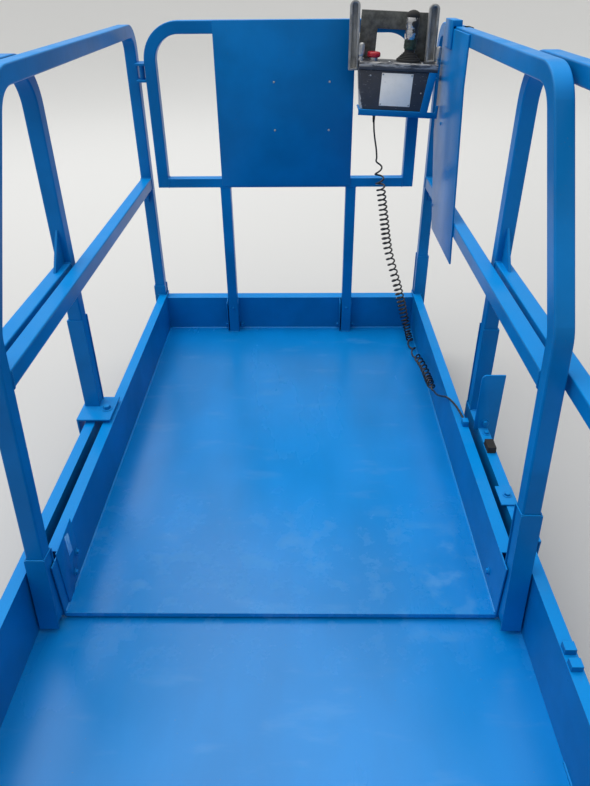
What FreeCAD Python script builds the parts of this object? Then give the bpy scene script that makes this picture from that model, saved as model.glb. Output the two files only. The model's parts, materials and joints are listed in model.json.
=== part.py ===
import FreeCAD, Part
import math
import os
import re
import Sketcher
from FreeCAD import Rotation, Vector

# Work platform of a scissor lift: a main deck, a roll-out deck that slides over it,
# folding guardrails, an entry gate and the platform control box.
# The layout is written from the seam, where the roll-out deck's rear edge lies on the
# main deck: x to the right, y forward, z up from the roll-out deck's walking surface.
# Every piece is then moved so that the origin is the middle of the part's footprint.

SIZES = (
    # name, millimetres or degrees, what it is
    ("tube", "38", "outer size of the square guardrail tube"),
    ("tube_wall", "2.5", "wall of the guardrail tube"),
    ("tube_round", "4", "radius of the guardrail tube's corners"),
    ("rail_top", "1094", "height of the guardrails' top face"),
    ("mid_top", "604", "height of the side mid rails' top face"),
    ("rail_bend", "100", "centre-line radius of the guardrails' large bends"),
    ("front_bend", "62", "centre-line radius of the extension rails' front bends"),
    ("deck_plate", "4", "thickness of both deck plates"),
    ("deck_step", "18", "height of the roll-out deck above the main deck"),
    ("hat_depth", "8", "depth of the stiffeners under the roll-out deck"),
    ("hat_width", "60", "width of a stiffener under the roll-out deck"),
    ("hat_wall", "3", "wall of a stiffener under the roll-out deck"),
    ("hat_place", "330", "distance of the outer stiffeners from the centre line"),
    ("ext_half", "491.5", "half the clear width of the roll-out deck"),
    ("ext_length", "1425", "length of the roll-out deck"),
    ("toe_wall", "3", "wall of the roll-out deck's toe-boards"),
    ("toe_top", "147", "height of the toe-boards' top face"),
    ("toe_flange", "30", "width of the roll-out toe-boards' top flange"),
    ("toe_run", "50", "where the side toe-boards' flanges start in front of the seam"),
    ("beam_drop", "60", "depth of the front toe-board below the deck surface"),
    ("beam_top", "134", "height of the front toe-board's top face"),
    ("beam_flange", "44", "width of the front toe-board's flanges"),
    ("rail_seat", "2.5", "play between the roll-out toe-boards and their rail posts"),
    ("main_rail_seat", "2", "play between the main toe-boards' webs and the rail posts above"),
    ("main_wall", "4", "wall of the main toe-boards"),
    ("main_flange", "28", "width of the main toe-boards' top flange"),
    ("main_lip", "16", "height of the lip on the main toe-boards' flange"),
    ("main_foot", "44", "width of the main toe-boards' bottom flange"),
    ("main_front", "660", "main deck's front edge, in front of the seam"),
    ("main_behind", "1600", "main deck's rear edge, behind the seam"),
    ("header_wall", "4", "thickness of the plates that close the under-frame"),
    ("cross_depth", "36", "depth of the cross members"),
    ("cross_width", "40", "width of a cross member"),
    ("cross_count", "7", "number of cross members"),
    ("cross_wall", "3", "wall of a cross member"),
    ("track_depth", "84", "depth of the scissor tracks"),
    ("track_width", "45", "width of the scissor tracks"),
    ("track_wall", "6", "wall of the scissor tracks"),
    ("track_inset", "159", "tracks' outer faces, inside the main toe-boards"),
    ("track_front_inset", "20", "tracks' front ends, behind the main deck's front edge"),
    ("track_rear_inset", "20", "tracks' rear ends, in front of the main deck's rear edge"),
    ("pivot_inset", "80", "pivot bores' axis, in front of the tracks' rear ends"),
    ("pivot_radius", "19", "radius of the scissor pivot bores"),
    ("boss_radius", "30", "outer radius of the pivot bosses"),
    ("round_flat", "0.5", "half the flat left between two rounded corners"),
    ("socket_gap", "0.5", "play between a rail post and its socket"),
    ("cheek", "3", "wall of the rail sockets"),
    ("slide_gap", "5.5", "room between the roll-out rails' sockets and the main toe-boards"),
    ("run_gap", "0.3", "running gap between wear pads and what slides on them"),
    ("post_kink", "680", "height at which the rear posts start to lean forward"),
    ("lower_lean", "6.6", "forward lean of the rear posts below the kink, in degrees"),
    ("upper_lean", "32.8", "forward lean of the rear posts above the kink, in degrees"),
    ("rear_post", "-16", "rear posts' centre line at deck height, in front of the seam"),
    ("ext_socket_left", "185", "top of the left extension rail's sockets"),
    ("ext_socket_right", "305", "top of the right extension rail's sockets"),
    ("main_socket_left", "440", "top of the left main rail's sockets"),
    ("main_socket_right", "410", "top of the right main rail's sockets"),
    ("main_post_front_inset", "29", "front posts of the main rails, behind the deck's front edge"),
    ("main_post_middle", "480", "middle posts of the main rails, behind the seam"),
    ("main_post_rear_inset", "25", "rear posts of the main rails, in front of the deck's rear edge"),
    ("rear_frame_width", "132.5", "width of the fixed frames beside the gate"),
    ("rear_frame_play", "0.5", "play between the rear frames and the main toe-boards"),
    ("gate_gap", "13", "gap between the gate and its posts"),
    ("gate_toe_bottom", "12", "height of the gate's kick plate above the roll-out deck's level"),
    ("barrel_radius", "7", "outer radius of the gate's hinge barrels"),
    ("pin_radius", "4", "radius of the gate's hinge pins"),
    ("frame_gap_left", "32", "gap between the front frame and the left rail's front post"),
    ("frame_gap_right", "52", "gap between the front frame and the right rail's front post"),
    ("frame_bar_top", "612", "height of the front frame's lower bar, top face"),
    ("frame_bar_height", "30", "height of the front frame's lower bar from face to face"),
    ("frame_rise", "10", "front frame's top face above the guardrails' top face"),
    ("leg_place", "225", "distance of the front frame's legs from the centre line"),
    ("leg_size", "36", "outer size of a front leg"),
    ("panel_margin", "230", "front panel's left edge, inside the front frame's left side"),
    ("panel_box_gap", "3", "gap between the front panel and the control box, seen from behind"),
    ("panel_bottom", "588", "bottom edge of the front panel"),
    ("panel_wall", "3", "thickness of the front panel"),
    ("plate_wall", "5", "thickness of the control side plate"),
    ("bracket_margin", "7.5", "how far the outermost brackets reach past the main sockets"),
    ("keeper_spacer", "8", "height of the left foot bracket above the toe-boards"),
    ("keeper_wall", "6", "thickness of the foot bracket and the upright plate"),
    ("keeper_drop", "75", "height of the foot bracket's outer leg"),
    ("keeper_cover", "46", "how far the foot bracket covers the roll-out toe-board"),
    ("keeper_length", "120", "length of the left foot bracket"),
    ("keeper_spacer_length", "70", "length of the spacer under the foot bracket"),
    ("upright_overhang", "12", "how far the upright plate stands inside the main toe-board"),
    ("upright_top", "325", "top of the upright plate"),
    ("upright_tail", "46", "how far the upright plate reaches down outside the toe-board"),
    ("upright_round", "14", "radius of the upright plate's corner"),
    ("upright_inset", "150", "upright plate's rear face, behind the main deck's front edge"),
    ("pad_back", "180", "rear end of the main wear pads, behind the main deck's front edge"),
    ("pad_front", "20", "front end of the main wear pads, behind the main deck's front edge"),
    ("gusset_height", "88", "height of the mid rail gussets"),
    ("gusset_length", "70", "length of the mid rail gussets"),
    ("gusset_wall", "6", "thickness of the mid rail gussets"),
    ("rear_bend", "34", "centre-line radius of the narrow rear frames' bends"),
    ("gate_bottom", "150", "underside of the gate's lower bar"),
    ("barrel_length", "44", "length of the gate's hinge barrels"),
    ("knuckle_length", "18", "length of the hinge knuckles on the post"),
    ("leaf_wall", "4", "thickness of the hinge leaves"),
    ("leaf_length", "26", "length of the hinge leaves"),
    ("hinge_low", "300", "lower hinge barrel's underside"),
    ("hinge_high", "880", "upper hinge barrel's underside"),
    ("pin_play", "0.08", "radial play of the hinge pins"),
    ("post_foot", "4", "height of the extension rails' post ends above the deck"),
    ("kink_bend", "60", "centre-line radius of the rear posts' kink"),
    ("socket_foot", "-9", "lower end of the leaning sockets, along the socket"),
    ("clamp_low", "926", "underside of the front clamps"),
    ("clamp_high", "976", "underside of the front clamps' upper rib"),
    ("clamp_wall", "6", "thickness of the front clamps' ribs"),
    ("clamp_pin_radius", "9", "radius of the front clamps' pins"),
    ("clamp_pin_inset", "4", "front clamps' pins, behind the roll-out deck's front edge"),
    ("plate_bottom", "490", "lower edge of the control side plate"),
    ("plate_low_inset", "220", "side plate's lower front corner, behind the roll-out deck's front"),
    ("plate_low_length", "325", "length of the side plate's lower edge"),
    ("plate_front_inset", "80", "side plate's front edge, behind the roll-out deck's front"),
    ("plate_length", "360", "length of the side plate's upper edge"),
    ("plate_shoulder", "780", "height at which the side plate's front edge turns upright"),
    ("plate_rear_shoulder", "960", "height at which the side plate's rear edge turns upright"),
    ("plate_drop", "6", "side plate's upper edge below the rails' top face"),
    ("box_width", "244", "width of the control box's top"),
    ("box_narrowing", "13", "how much narrower the control box is at its base, each side"),
    ("box_side_gap", "23", "gap between the control box and the side plate"),
    ("box_depth", "85", "depth of the control box"),
    ("box_front_gap", "1", "gap between the control box and the front panel"),
    ("box_base", "850", "underside of the control box"),
    ("box_height", "116", "height of the control box's body"),
    ("box_tilt", "3", "how far the control box leans to the right, in degrees"),
    ("lid_height", "24", "height of the control box's lid"),
    ("lid_margin", "2", "how far the lid overhangs the box at its sides"),
    ("lid_lip", "5", "how far the lid overhangs the box towards the user"),
    ("lid_round", "6", "radius of the lid's edges"),
    ("cradle_wall", "5", "thickness of the control box's cradle"),
    ("cradle_bar", "18", "height of the cradle's front bar"),
    ("cradle_strap", "24", "width of the cradle's strap up the box"),
    ("cradle_hook", "40", "height of the cradle's end at the side plate"),
    ("cradle_end", "9", "thickness of the cradle's end at the side plate"),
    ("cradle_gap", "0.3", "gap between the cradle's end and the side plate"),
    ("guard_width", "31", "width of a guard hoop"),
    ("guard_rim", "7", "width of a guard hoop's rim"),
    ("guard_depth", "22", "depth of a guard hoop"),
    ("guard_web", "3", "thickness of the plate that closes a guard hoop"),
    ("guard_inset", "22", "guard hoops' rear faces, in front of the box's"),
    ("guard_left_rise", "168", "height of the left guard hoop's top above the lid"),
    ("guard_right_rise", "156", "height of the right guard hoop's top above the lid"),
    ("guard_right_inset", "8", "right guard hoop, inside the lid's right edge"),
    ("cross_height", "135", "height of the guard plate between the hoops"),
    ("cross_bar", "50", "height of the guard plate's bar"),
    ("cross_span", "215", "width of the guard plate between the hoops"),
    ("cross_leg", "54", "width of the guard plate's left leg"),
    ("cross_leg_right", "35", "width of the guard plate's right leg"),
    ("cross_place", "6", "guard plate's front face, behind the control box's"),
    ("cross_plate_wall", "3", "thickness of the guard plate between the hoops"),
    ("stick_place", "86", "joystick's axis, from the lid's right edge"),
    ("stick_height", "136", "height of the joystick above the lid"),
    ("stick_boot", "34", "radius of the joystick's boot"),
    ("stick_base", "6", "height of the joystick's base"),
    ("stick_boot_top", "24", "height at which the joystick's boot ends"),
    ("stick_grip", "56", "height at which the joystick's grip widens"),
    ("stick_shoulder", "70", "height of the joystick grip's widest place"),
    ("stick_crown", "124", "height at which the grip's top closes"),
    ("stick_round", "9", "radius of the joystick grip's edges"),
    ("stick_neck", "17", "radius of the joystick's lower grip"),
    ("stick_knob", "21", "largest radius of the joystick's grip"),
    ("button_place", "45", "stop button's axis, from the lid's left edge"),
    ("button_collar", "10", "height of the stop button's collar"),
    ("button_round", "6", "radius of the stop button's edge"),
    ("button_radius", "21", "radius of the stop button's head"),
    ("button_neck", "13", "radius of the stop button's collar"),
    ("button_height", "26", "height of the stop button"),
    ("knob_radius", "9", "radius of the hoops' fixing knobs"),
    ("knob_height", "50", "height of the hoops' fixing knobs"),
    ("knob_inset", "4", "fixing knobs' axes, inside the lid's edges"),
    ("gland_radius", "9", "radius of the cord gland under the control box"),
    ("gland_length", "16", "length of the cord gland under the control box"),
    ("gland_place", "64", "cord gland's axis, from the control box's left side"),
    ("hook_inset", "45", "front end of the side plate's hook, behind the plate's front edge"),
    ("hook_wall", "5", "thickness of the hook's leg"),
    ("hook_drop", "60", "length of the hook's leg on the side plate"),
    ("hook_length", "110", "length of the side plate's hook over the top rail"),
    ("hook_height", "16", "height of the side plate's hook above the top rail"),
    ("buffer_length", "60", "length of the rubber buffer beside the hook"),
    ("buffer_lap", "20", "how far the buffer lies beside the hook"),
    ("buffer_height", "30", "height of the rubber buffer"),
    ("buffer_overhang", "6", "how far the buffer stands outside the top rail"),
    ("gusset_reach", "48", "size of the gussets under the roll-out mid rails"),
    ("latch_wall", "3", "thickness of the gusset plate at the left roll-out toe-board's rear end"),
    ("latch_length", "134", "front edge of the gusset plate at the left toe-board's rear end"),
    ("latch_rear", "28", "its rear edge, in front of the seam"),
    ("latch_foot", "36", "length of its lower edge"),
    ("latch_knee", "64", "height at which its front edge turns upright"),
    ("latch_drop", "8", "how much lower it is at the rear"),
    ("latch_slot_rear", "87", "rear side of its slot, in front of the seam"),
    ("latch_slot_low", "95", "lower end of its slot"),
    ("latch_slot_high", "152", "upper end of its slot"),
    ("latch_height", "168", "height of that gusset plate"),
    ("latch_slot", "14", "width of its slot"),
    ("bridge_rear", "199", "bridging plate's rear edge, in front of the seam"),
    ("bridge_width", "68", "width of the bridging plate"),
    ("bridge_overhang", "13", "how far the bridging plate stands inside the main toe-board"),
    ("bridge_wall", "5", "thickness of the bridging plate"),
    ("stop_pitch", "36", "distance from one rail stop to the next"),
    ("stop_rear", "-244", "rear end of the rear rail stop, in front of the seam"),
    ("stop_length", "20", "length of a rail stop"),
    ("stop_height", "14", "height of a rail stop"),
    ("stop_width", "22", "width of a rail stop"),
    ("side_clip_rear", "88", "side clip's rear face, in front of the seam"),
    ("side_clip_length", "70", "length of the side clip"),
    ("side_clip_wall", "4", "wall of the side clip"),
    ("side_clip_drop", "5", "top of the side clip, below the toe-board's"),
    ("side_clip_height", "42", "height of the side clip"),
    ("rubber_length", "40", "length of the rubber stop behind the upright plate"),
    ("rubber_height", "18", "height of the rubber stop behind the upright plate"),
    ("foot_length", "66", "length of the upright plate's foot"),
    ("clip_rear", "524", "cord clip's rear face, in front of the seam"),
    ("clip_length", "22", "length of the cord clip"),
    ("clip_width", "17", "width of the cord clip"),
    ("clip_height", "17", "height of the cord clip"),
    ("cord_size", "6", "diameter of the control box's cord"),
    ("curl_size", "28", "outer diameter of the cord's curly stretch"),
    ("gate_stop_cover", "14", "how far the gate stop covers the gate's edge"),
    ("gate_stop_wall", "4", "thickness of the gate stop"),
    ("gate_stop_height", "120", "height of the gate stop"),
    ("gate_stop_level", "640", "lower end of the gate stop"),
    ("gate_stop_seat", "16", "how far the gate stop lies on its post"),
    ("latch_box_height", "70", "height of the gate latch's housing"),
    ("latch_box_width", "30", "width of the gate latch's housing"),
    ("latch_box_depth", "20", "depth of the gate latch's housing"),
    ("latch_level", "700", "underside of the gate latch"),
    ("latch_bolt_radius", "6", "radius of the gate latch's bolt"),
    ("latch_bolt_reach", "8", "how far the gate latch's bolt reaches out of the gate"),
)

LAYOUT = (
    # name, formula, what it is
    ("socket_size", "tube + 2 * socket_gap + 2 * cheek", "outer size of a socket along the deck"),
    ("ext_rail_x", "ext_half + toe_wall + rail_seat + tube / 2", "centre line of the extension rails"),
    ("main_half", "ext_rail_x + tube / 2 + socket_gap + cheek + slide_gap",
     "half the clear width of the main deck"),
    ("track_face", "main_half - track_inset", "a track's outer face, from the centre line"),
    ("main_rail_x", "main_half + main_rail_seat + tube / 2", "centre line of the main rails"),
    ("main_socket_x", "main_rail_x + tube / 2 + socket_gap + cheek", "outer face of the main sockets"),
    ("bracket_reach", "main_socket_x + bracket_margin", "outermost face of the part"),
    ("ext_front_post", "ext_length + socket_size / 2", "front posts of the extension rails"),
    ("front_reach", "ext_length + socket_size", "foremost point in front of the seam"),
    ("rear_reach", "main_behind + header_wall", "rearmost point behind the seam"),
    ("cross_step", "(main_front + main_behind - header_wall - cross_width) / (cross_count - 1)",
     "distance from one cross member to the next"),
    ("track_front", "main_front - track_front_inset", "tracks' front ends"),
    ("track_behind", "main_behind - track_rear_inset", "tracks' rear ends, behind the seam"),
    ("pivot_behind", "track_behind - pivot_inset", "pivot bores' axis, behind the seam"),
    ("main_post_front", "main_front - main_post_front_inset", "main rails' front posts"),
    ("main_post_rear", "main_behind - main_post_rear_inset", "main rails' rear posts, behind the seam"),
    ("gate_half", "main_half - rear_frame_play - rear_frame_width - gate_gap", "half the gate's width"),
    ("frame_left", "ext_rail_x - tube / 2 - frame_gap_left", "front frame's left side"),
    ("frame_right", "ext_rail_x - tube / 2 - frame_gap_right", "front frame's right side"),
    ("keeper_top", "toe_top + keeper_spacer + keeper_wall", "top of the left foot bracket"),
    ("keeper_start", "main_front - keeper_length", "rear edge of the left foot bracket"),
    ("upright_inner", "main_half - upright_overhang", "inner edge of the upright plate"),
    ("upright_place", "main_front - upright_inset", "upright plate's rear face"),
    ("plate_face", "ext_rail_x - tube / 2 - plate_wall", "inner face of the control side plate"),
    ("plate_front", "ext_length - plate_front_inset", "side plate's front edge"),
    ("plate_rear", "plate_front - plate_length", "side plate's rear edge"),
    ("plate_front_low", "ext_length - plate_low_inset", "front end of the side plate's lower edge"),
    ("plate_rear_low", "plate_front_low - plate_low_length", "rear end of the side plate's lower edge"),
    ("box_right", "plate_face - box_side_gap", "right side of the control box's top"),
    ("box_left", "box_right - box_width", "left side of the control box's top"),
    ("panel_left", "frame_left - panel_margin", "left edge of the front panel, from the centre line"),
    ("panel_right", "box_left - panel_box_gap", "right edge of the front panel, from the centre line"),
    ("box_middle", "(box_left + box_right) / 2", "the control box's tilt is about its base at this place"),
    ("box_far", "ext_length - tube - panel_wall - box_front_gap", "control box's front face"),
    ("box_near", "box_far - box_depth", "control box's rear face"),
    ("box_top", "box_base + box_height", "top of the control box's body"),
    ("lid_top", "box_top + lid_height", "top of the control box's lid"),
    ("lid_left", "box_left - lid_margin", "left side of the control box's lid"),
    ("lid_right", "box_right + lid_margin", "right side of the control box's lid"),
    ("box_mid_y", "(box_near + box_far) / 2", "middle of the control box, from front to back"),
    ("lid_shift", "(lid_top - box_base) * sin(box_tilt * 1deg)",
     "how far the tilt moves the lid's top to the right"),
    ("guard_left_top", "lid_top + guard_left_rise", "top of the left guard hoop"),
    ("guard_right_top", "lid_top + guard_right_rise", "top of the right guard hoop"),
    ("guard_left_x", "box_middle - (box_middle - lid_left) * cos(box_tilt * 1deg)"
     " + box_height * sin(box_tilt * 1deg) - run_gap - guard_width", "left side of the left guard hoop"),
    ("guard_right_x", "lid_right + lid_shift - guard_right_inset - guard_width",
     "left side of the right hoop"),
    ("guard_right_foot", "box_base + (lid_top - box_base"
     " - (guard_right_x - box_middle) * sin(box_tilt * 1deg)) / cos(box_tilt * 1deg) + run_gap",
     "foot of the right guard hoop"),
    ("gland_x", "box_left + gland_place", "cord gland's axis"),
    ("gland_top", "box_base - (cradle_wall + (gland_x + gland_radius - box_middle) * sin(box_tilt * 1deg))"
     " / cos(box_tilt * 1deg) - run_gap", "top of the cord gland"),
    ("cradle_x", "box_middle + (plate_face - cradle_gap - box_middle - cradle_hook * sin(box_tilt * 1deg))"
     " / cos(box_tilt * 1deg)", "the cradle's end at the side plate, before the tilt"),
    ("hook_front", "plate_front - hook_inset", "front end of the side plate's hook"),
    ("seam_y", "(rear_reach - front_reach) / 2", "the seam's place from the origin"),
    ("main_z", "-deck_step", "main deck's walking surface"),
    ("cross_top", "main_z - deck_plate", "top of the cross members"),
    ("cross_base", "cross_top - cross_depth", "underside of the cross members"),
    ("track_base", "cross_base - track_depth", "underside of the tracks"),
    ("deck_z", "-track_base", "the roll-out deck's surface above the floor"),
    ("hat_base", "-deck_plate - hat_depth", "underside of the roll-out deck"),
    ("toe_out", "ext_half + toe_wall", "outer face of the roll-out toe-boards' webs"),
    ("rail_line", "rail_top - tube / 2", "centre line of the top rails"),
    ("mid_start", "rear_post + tube / 2 + (mid_top - tube) * tan(lower_lean * 1deg)",
     "rear end of the roll-out mid rails"),
    ("mid_line", "mid_top - tube / 2", "centre line of the mid rails"),
    ("kink_y", "rear_post + post_kink * tan(lower_lean * 1deg)", "rear posts' kink"),
    ("crown_y", "kink_y + (rail_line - post_kink) * tan(upper_lean * 1deg)",
     "where the leaning post meets the top rail"),
)

NAMES = {row[0]: "Sizes" for row in SIZES}
NAMES.update({row[0]: "Layout" for row in LAYOUT})
WORD = re.compile(r"[A-Za-z_][A-Za-z_0-9]*")

SIDES = (("left", -1), ("right", 1))

doc = FreeCAD.newDocument("scissor_lift_platform")
parts = []


def formula(text):
    """Write each size's name with the sheet that holds it."""
    return WORD.sub(lambda m: NAMES[m.group()] + "." + m.group() if m.group() in NAMES else m.group(),
                    str(text))


def make_sheets():
    sizes = doc.addObject("Spreadsheet::Sheet", "Sizes")
    for row, (name, number, meaning) in enumerate(SIZES, 1):
        sizes.set("A%d" % row, meaning)
        sizes.set("B%d" % row, number)
        sizes.setAlias("B%d" % row, name)
    doc.recompute()
    layout = doc.addObject("Spreadsheet::Sheet", "Layout")
    for row, (name, text, meaning) in enumerate(LAYOUT, 1):
        layout.set("A%d" % row, meaning)
        layout.setAlias("B%d" % row, name)
        layout.set("B%d" % row, "=" + formula(text))
        doc.recompute()


def size(name):
    return float(doc.getObject(NAMES[name]).get(name))


def bind(thing, path, text):
    thing.setExpression(path, formula(text))


def place(thing, x="0", y="0", z="0"):
    """Put a piece at a place given from the seam and the roll-out deck's surface."""
    bind(thing, "Placement.Base.x", x)
    bind(thing, "Placement.Base.y", "%s + seam_y" % y)
    bind(thing, "Placement.Base.z", "%s + deck_z" % z)
    return thing


def lean(thing, x="0", y="0", z="0"):
    """Put a piece as place does, turned with the control box about the middle of its base."""
    across, up = "(%s - box_middle)" % x, "(%s - box_base)" % z
    turn, rise = "cos(box_tilt * 1deg)", "sin(box_tilt * 1deg)"
    bind(thing, "Placement.Base.x", "box_middle + %s * %s + %s * %s" % (across, turn, up, rise))
    bind(thing, "Placement.Base.y", "%s + seam_y" % y)
    bind(thing, "Placement.Base.z", "box_base - %s * %s + %s * %s + deck_z" % (across, rise, up, turn))
    bind(thing, "Placement.Rotation.Axis.y", "1")
    bind(thing, "Placement.Rotation.Axis.z", "0")
    bind(thing, "Placement.Rotation.Angle", "box_tilt * 1deg")
    return thing


def keep(thing, label):
    """Count a finished object as a sub-part of the platform."""
    thing.Label = label
    parts.append(thing)
    return thing


def plane(body, role):
    return [part for part in body.Origin.OriginFeatures if part.Role == role][0]


def sketch(body, role, name):
    drawing = body.newObject("Sketcher::SketchObject", name)
    drawing.AttachmentSupport = [(plane(body, role), "")]
    drawing.MapMode = "FlatFace"
    return drawing


def value(text):
    """What a formula comes to, in millimetres."""
    answer = doc.getObject("Sizes").evalExpression(formula(text))
    return float(getattr(answer, "Value", answer))


def fix_point(drawing, edge, end, across, up):
    """Hold a point of a sketch at a place given by two formulas."""
    for kind, axis, text in (("DistanceX", -2, across), ("DistanceY", -1, up)):
        if text == "0":
            drawing.addConstraint(Sketcher.Constraint("PointOnObject", edge, end, axis))
        else:
            index = drawing.addConstraint(Sketcher.Constraint(kind, -1, 1, edge, end, value(text)))
            drawing.setExpression("Constraints[%d]" % index, formula(text))


def round_corner(before, corner, after, radius):
    """The two points where an arc of this radius leaves the sides of a corner, and its middle."""
    back = (before - corner).normalize()
    on = (after - corner).normalize()
    half = back.getAngle(on) / 2
    start = corner + back * (radius / math.tan(half))
    end = corner + on * (radius / math.tan(half))
    centre = corner + (back + on).normalize() * (radius / math.sin(half))
    middle = centre + (corner - centre).normalize() * radius
    return start, middle, end


def outline(drawing, corners):
    """Draw a closed outline through corners (across, up) or (across, up, radius), all formulas."""
    count = len(corners)
    at = [Vector(value(corner[0]), value(corner[1]), 0) for corner in corners]
    cuts = []
    for turn, corner in enumerate(corners):
        if len(corner) == 3:
            cuts.append(round_corner(at[turn - 1], at[turn], at[(turn + 1) % count], value(corner[2])))
        else:
            cuts.append((at[turn], None, at[turn]))
    lines = [drawing.addGeometry(Part.LineSegment(cuts[turn][2], cuts[(turn + 1) % count][0]), False)
             for turn in range(count)]
    for turn, corner in enumerate(corners):
        before, after = lines[turn - 1], lines[turn]
        if len(corner) == 2:
            drawing.addConstraint(Sketcher.Constraint("Coincident", before, 2, after, 1))
            fix_point(drawing, after, 1, *corner)
            continue
        start, middle, end = cuts[turn]
        clockwise = (middle - start).cross(end - middle).z < 0
        bend = Part.Arc(end, middle, start) if clockwise else Part.Arc(start, middle, end)
        arc = drawing.addGeometry(bend, False)
        first, last = (2, 1) if clockwise else (1, 2)
        drawing.addConstraint(Sketcher.Constraint("Tangent", before, 2, arc, first))
        drawing.addConstraint(Sketcher.Constraint("Tangent", after, 1, arc, last))
        index = drawing.addConstraint(Sketcher.Constraint("Radius", arc, value(corner[2])))
        drawing.setExpression("Constraints[%d]" % index, formula(corner[2]))
        point = drawing.addGeometry(Part.Point(at[turn]), True)
        drawing.addConstraint(Sketcher.Constraint("PointOnObject", point, 1, before))
        drawing.addConstraint(Sketcher.Constraint("PointOnObject", point, 1, after))
        fix_point(drawing, point, 1, *corner[:2])


def ring(drawing, across, up, radius):
    centre = Vector(value(across), value(up), 0)
    edge = drawing.addGeometry(Part.Circle(centre, Vector(0, 0, 1), value(radius)), False)
    fix_point(drawing, edge, 3, across, up)
    index = drawing.addConstraint(Sketcher.Constraint("Radius", edge, value(radius)))
    drawing.setExpression("Constraints[%d]" % index, formula(radius))


def extrude(body, name, role, corners, start, length, holes=()):
    """Pad an outline on one of the body's planes along +X, +Y or +Z, from start, over a length."""
    drawing = sketch(body, role, name + "_outline")
    along_y = role == "XZ_Plane"
    if start != "0":
        bind(drawing, "AttachmentOffset.Base.z", "-(%s)" % start if along_y else start)
    outline(drawing, corners)
    for hole in holes:
        if len(hole) == 3 and isinstance(hole[0], str):
            ring(drawing, *hole)
        else:
            outline(drawing, hole)
    pad = body.newObject("PartDesign::Pad", name + "_pad")
    pad.Profile = drawing
    bind(pad, "Length", length)
    pad.Reversed = along_y
    return pad


def prism(name, role, corners, start, length, holes=(), put=place):
    """A plate or section of one outline between two places along X, Y or Z."""
    body = doc.addObject("PartDesign::Body", name)
    extrude(body, name, role, corners, start, length, holes)
    return put(body)


def turned(name, profile, x, y, put=place):
    """A round piece about an upright axis, from (radius, height) corners."""
    body = doc.addObject("PartDesign::Body", name)
    drawing = sketch(body, "XZ_Plane", name + "_profile")
    outline(drawing, profile)
    spin = body.newObject("PartDesign::Revolution", name + "_turn")
    spin.Profile = drawing
    spin.ReferenceAxis = (drawing, ["V_Axis"])
    spin.Angle = 360
    return put(body, x, y)


def block(name, x, y, z, put=place):
    """A box between two places along each axis."""
    box = doc.addObject("Part::Box", name)
    for path, (low, high) in (("Length", x), ("Width", y), ("Height", z)):
        bind(box, path, "(%s) - (%s)" % (high, low))
    return put(box, x[0], y[0], z[0])


def rod(name, radius, length, at, along, put=place):
    """A round bar from a place along X, Y or Z."""
    bar = doc.addObject("Part::Cylinder", name)
    bind(bar, "Radius", radius)
    bind(bar, "Height", length)
    turns = {"X": Rotation(Vector(0, 1, 0), 90), "Y": Rotation(Vector(1, 0, 0), -90), "Z": Rotation()}
    bar.Placement = FreeCAD.Placement(Vector(), turns[along])
    return put(bar, *at)


def fuse(name, pieces):
    joined = doc.addObject("Part::MultiFuse", name)
    joined.Shapes = pieces
    joined.Refine = True
    return joined


def cut(name, base, tool):
    left = doc.addObject("Part::Cut", name)
    left.Base = base
    left.Tool = tool
    left.Refine = True
    return left


def group(name, pieces):
    """Like pieces that don't touch, kept as one sub-part."""
    gathered = doc.addObject("Part::Compound", name)
    gathered.Links = pieces
    return gathered


def bent_edges(points, radii):
    """Straight runs joined by tangent arcs through the corners of a route."""
    edges = []
    here = points[0]
    for corner, radius in enumerate(radii, 1):
        start, middle, end = round_corner(points[corner - 1], points[corner], points[corner + 1], radius)
        edges.append(Part.LineSegment(here, start))
        edges.append(Part.Arc(start, middle, end))
        here = end
    edges.append(Part.LineSegment(here, points[-1]))
    return edges


def tube_section(drawing, across, up):
    """The hollow rounded square of the guardrail tube about a centre."""
    for half, radius in (("tube / 2", "tube_round"), ("(tube / 2 - tube_wall)", "")):
        corners = []
        for sign_x, sign_y in ((-1, -1), (1, -1), (1, 1), (-1, 1)):
            corner = ("%s + %d * %s" % (across, sign_x, half), "%s + %d * %s" % (up, sign_y, half))
            corners.append(corner + (radius,) if radius else corner)
        outline(drawing, corners)


def bent_tube(name, role, route, radii, level):
    """A guardrail tube bent along a route of (across, up) formulas that starts upwards."""
    body = doc.addObject("PartDesign::Body", name)
    spine = sketch(body, role, name + "_route")
    edges = bent_edges([Vector(value(across), value(up), 0) for across, up in route],
                       [value(radius) for radius in radii])
    for edge in edges:
        spine.addGeometry(edge, False)
    section = sketch(body, "XY_Plane", name + "_section")
    bind(section, "AttachmentOffset.Base.z", route[0][1])
    if role == "XZ_Plane":
        tube_section(section, route[0][0], "0")
    else:
        tube_section(section, "0", route[0][0])
    doc.recompute()
    pipe = body.newObject("PartDesign::AdditivePipe", name + "_pipe")
    pipe.Profile = section
    pipe.Spine = (spine, ["Edge%d" % (index + 1) for index in range(len(edges))])
    return place(body, y=level) if role == "XZ_Plane" else place(body, x=level)


def straight_tube(name, along, start, end, across, up):
    """A straight guardrail tube along X, Y or Z; across and up are its centre's other places."""
    role = {"X": "YZ_Plane", "Y": "XZ_Plane", "Z": "XY_Plane"}[along]
    body = doc.addObject("PartDesign::Body", name)
    section = sketch(body, role, name + "_section")
    bind(section, "AttachmentOffset.Base.z", "-(%s)" % start if along == "Y" else start)
    tube_section(section, across, up)
    pad = body.newObject("PartDesign::Pad", name + "_pad")
    pad.Profile = section
    bind(pad, "Length", "(%s) - (%s)" % (end, start))
    pad.Reversed = along == "Y"
    return place(body)


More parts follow.
